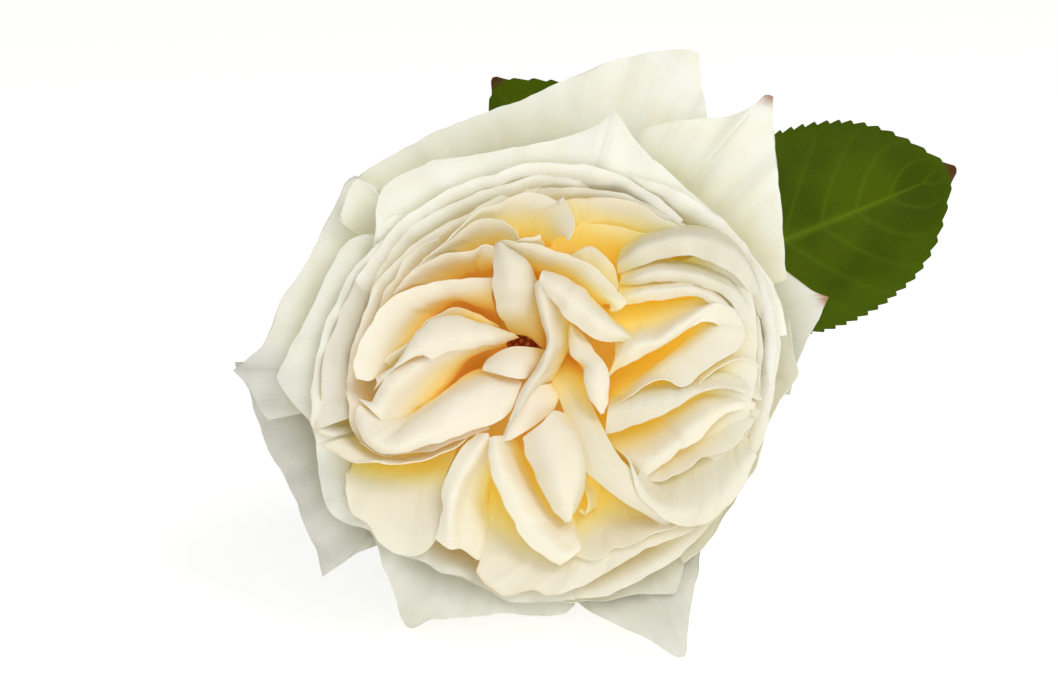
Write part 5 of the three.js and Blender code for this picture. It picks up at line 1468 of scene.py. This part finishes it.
def petal_look(name, paints, glow):
    """Cream petals: paler at the free edge, golden and then orange in the hollows, partly their own yellow
    and partly painted shade and bounced light, with fine long veins.

    The glow stands for the light that reaches the hollows through the many petals around them.
    """
    look = Look(name)
    lane = {0: look.read("across"), 1: look.times(look.read("run"), 0.05), 2: look.read("tone")}
    veins = look.noise(1.1, detail=3.0, place=look.add("ShaderNodeCombineXYZ", lane).outputs[0])
    paint_petal(look, paints, veins, look.noise(70.0))
    deep, warm = look.read("deep"), look.read("warm")
    pit_shine = look.mix(warm, paints["pit_shine"], paints["warm_pit_shine"])
    relief = look.bump(veins, strength=0.35, distance=0.0004)
    return look.surface({
        "Roughness": look.span(veins, 0.2, 0.8, 0.46, 0.6),
        "Normal": look.bump(look.noise(2600.0), strength=0.12, distance=0.0001, below=relief),
        "Specular IOR Level": 0.3,
        "Sheen Weight": 0.08,
        "Sheen Roughness": 0.4,
        "Emission Color": look.mix(look.span(deep, 0.5, 1.0), paints["shine"], pit_shine),
        "Emission Strength": look.times(deep, glow),
    }, LIGHT_THROUGH_PETAL)


def stamen_look():
    look = Look("stamen")
    grain = look.noise(3000.0)
    look.base = look.mix(look.read("pollen"), "#A8441A", "#BE6A26")
    look.paint(look.span(grain, 0.4, 0.7, to_high=0.5), "#7E3410")
    return look.surface({
        "Roughness": look.span(grain, 0.3, 0.7, 0.6, 0.8),
        "Normal": look.bump(grain, strength=0.5, distance=0.0001),
    })


def calyx_look():
    """Mottled green with a fine pale down, paler on the hip and browner to the tips of the sepals."""
    look = Look("calyx")
    fine = look.noise(1800.0, detail=3.0)
    look.base = look.mix(look.noise(160.0, detail=4.0), "#4E6B26", "#7C9646")
    look.paint(look.read("down"), "#5F7E35")
    look.paint(look.times(look.read("tip"), 0.35), "#7A4A2C")
    look.paint(look.span(fine, 0.55, 0.75, to_high=0.3), "#A9B77C")
    return look.surface({
        "Roughness": look.span(fine, 0.3, 0.7, 0.45, 0.62),
        "Normal": look.bump(fine, strength=0.4, distance=0.0002),
        "Specular IOR Level": 0.4,
        "Subsurface Weight": 0.1,
        "Subsurface Radius": (0.6, 1.0, 0.2),
        "Subsurface Scale": 0.001,
    })


def stem_look():
    """Green with long streaks and brown patches, red prickles and a pale cut end."""
    look = Look("stem")
    along_stem = {"Vector": look.position(), "Scale": (900.0, 40.0, 900.0)}
    streaks = look.noise(1.0, detail=4.0, place=look.add("ShaderNodeMapping", along_stem).outputs[0])
    look.base = look.mix(streaks, "#3F5F22", "#6F8E44")
    look.paint(look.span(look.noise(60.0, detail=3.0), 0.45, 0.7, to_high=0.35), "#6B4A30")
    look.paint(look.span(look.read("run"), 0.0, 60.0, 0.25, 0.0), "#83A04E")
    look.paint(look.span(look.read("tip"), 0.15, 0.8), "#7B3424")
    look.paint(look.read("cut"), "#C9CF9A")
    return look.surface({
        "Roughness": look.span(streaks, 0.3, 0.7, 0.38, 0.5),
        "Normal": look.bump(streaks, strength=0.35, distance=0.0002),
        "Specular IOR Level": 0.45,
        "Coat Weight": 0.06,
        "Coat Roughness": 0.4,
    })


def leaf_look():
    """Deep green with paler veins and fine cells, pale on its back and brown at its tip."""
    look = Look("leaf")
    broad = look.noise(75.0, detail=3.0)
    cells = look.add("ShaderNodeTexVoronoi", {"Vector": look.position(), "Scale": 950.0},
                     feature="DISTANCE_TO_EDGE").outputs["Distance"]
    look.base = look.mix(look.span(broad, 0.3, 0.7), "#3A4B00", "#485A02")
    look.paint(look.span(look.read("rim"), 0.6, 1.0, to_high=0.4), "#435A04")
    look.paint(look.times(look.read("vein"), 0.45), "#6E8618")
    look.paint(look.span(cells, 0.08, 0.0, to_high=0.1), "#5A7414")
    look.paint(look.times(look.read("back"), 0.6), "#7F955A")
    look.paint(look.read("tip"), "#55331C")
    return look.surface({
        "Roughness": look.span(broad, 0.3, 0.7, 0.4, 0.5),
        "Normal": look.bump(look.span(cells, 0.0, 0.12), strength=0.3, distance=0.00018),
        "Specular IOR Level": 0.04,
    })


def floor_look():
    look = Look("floor")
    look.base = "#FAFAF8"
    return look.surface({
        "Roughness": 0.9,
        "Specular IOR Level": 0.1,
        "Emission Color": (1.0, 1.0, 1.0, 1.0),
        "Emission Strength": 0.5,
    })


# The rose

# The first outer petals in their list are those at the right.
RIGHT_OUTER = 7
outer_faces = [
    (fan_grid(dish, shift, droop, edge), dull) for _, dish, shift, droop, dull, edge in OUTER_PETALS
]
cup_faces = [(cup_face(rim), ruffle, dull) for _, ruffle, dull, rim in CUP_PETALS]
# The two closing sheets, with their ruffle and how much painted shade they take.
cup_faces += [(rosette_face(LEFT_FACE), 0.7, 0.55), (rosette_face(RIGHT_FACE), 0.2, 0.1)]
rosette_faces = [(rosette_face(rows), dull) for _, dull, rows in INNER_PETALS]
rosette_half = len(rosette_faces) // 2
lid = Lid([entry[0][0] for entry in outer_faces + cup_faces + rosette_faces])

outer_look = petal_look("petal_outer", OUTER_PAINTS, PETAL_GLOW)
cup_look = petal_look("petal_cup", CUP_PAINTS, PETAL_GLOW)
rosette_look = petal_look("petal_rosette", ROSETTE_PAINTS, ROSETTE_GLOW)

keep(outer_petals(outer_faces[:RIGHT_OUTER], lid).build("outer_petals_right", outer_look), "petals")
keep(outer_petals(outer_faces[RIGHT_OUTER:], lid).build("outer_petals_left", outer_look), "petals")
keep(cup_petals(cup_faces, lid).build("cup_petals", cup_look), "petals")
keep(rosette_petals(rosette_faces[:rosette_half], lid).build("rosette_petals_left", rosette_look), "petals")
keep(rosette_petals(rosette_faces[rosette_half:], lid).build("rosette_petals_right", rosette_look), "petals")
keep(petal_core().build("petal_core", rosette_look), "petals")
keep(stamens().build("stamen_tuft", stamen_look()), "stamens")
keep(calyx().build("hip_and_sepals", calyx_look()), "calyx")
keep(stem().build("stem_with_prickles", stem_look()), "stem")
keep(leaf().build("leaf_of_three", leaf_look()), "leaf")


# Floor, light and camera

# Sizes in metres, but for depths along the bloom's axis and the width of the sensor, in mm.
FLOOR_HALF = 6.0
LIGHT_DISTANCE = 1.2
LIT_DEPTH = 20
EYE_DEPTH = VIEW_DISTANCE + RIM_DEPTH
SENSOR_WIDTH = 36
CLIP_NEAR = 0.01
CLIP_FAR = 50
SKY_STRENGTH = 0.45
WHITE = (1.0, 1.0, 1.0, 1.0)


def floor():
    mesh = bpy.data.meshes.new("floor")
    half = FLOOR_HALF
    corners = [(-half, -half, 0), (half, -half, 0), (half, half, 0), (-half, half, 0)]
    mesh.from_pydata(corners, [], [(0, 1, 2, 3)])
    mesh.materials.append(floor_look())
    linked("floor", mesh)


def bloom_way(u, v, w):
    """A direction of the bloom frame, as a way of length 1 in the part's frame."""
    return unit(set_down(np.array([u, v, w], float)) - set_down(np.zeros(3)))


def pose(made, axes, place):
    """Turns an object so that its own axes point along three ways, and sets it at a place."""
    rows = [[*(axis[i] for axis in axes), place[i]] for i in range(3)]
    made.matrix_world = Matrix([*rows, [0, 0, 0, 1]])


def soft_light(name, way, size, power):
    """A large square light that looks at the bloom from a direction of the bloom frame."""
    data = bpy.data.lights.new(name, "AREA")
    data.shape = "SQUARE"
    data.size = size
    data.energy = power
    back = bloom_way(*way)
    side = unit(np.cross([0.0, 0.0, 1.0], back))
    place = set_down(np.array([0, 0, LIT_DEPTH])) + back * LIGHT_DISTANCE
    made = linked(name, data)
    pose(made, [side, np.cross(back, side), back], place)
    made.visible_camera = False


def world():
    made = bpy.data.worlds.new("studio")
    made.use_nodes = True
    background = made.node_tree.nodes["Background"]
    background.inputs["Color"].default_value = WHITE
    background.inputs["Strength"].default_value = SKY_STRENGTH
    bpy.context.scene.world = made


def camera():
    data = bpy.data.cameras.new("camera")
    data.sensor_width = SENSOR_WIDTH
    data.lens = SENSOR_WIDTH * VIEW_DISTANCE / (PICTURE_WIDTH * PICTURE_UNIT)
    data.clip_start = CLIP_NEAR
    data.clip_end = CLIP_FAR
    made = linked("camera", data)
    axes = [bloom_way(1, 0, 0), bloom_way(0, 1, 0), bloom_way(0, 0, 1)]
    pose(made, axes, set_down(np.array([0, 0, EYE_DEPTH])))
    bpy.context.scene.camera = made


floor()
world()
soft_light("key", way=(0.45, 0.55, 0.85), size=0.5, power=4.3)
soft_light("fill", way=(0.0, 0.1, 1.0), size=0.6, power=2.2)
camera()
bpy.context.scene.view_settings.view_transform = "Standard"

# Light goes from petal to petal many times, which keeps the hollows bright.
bpy.context.scene.cycles.max_bounces = 20
bpy.context.scene.cycles.diffuse_bounces = 14
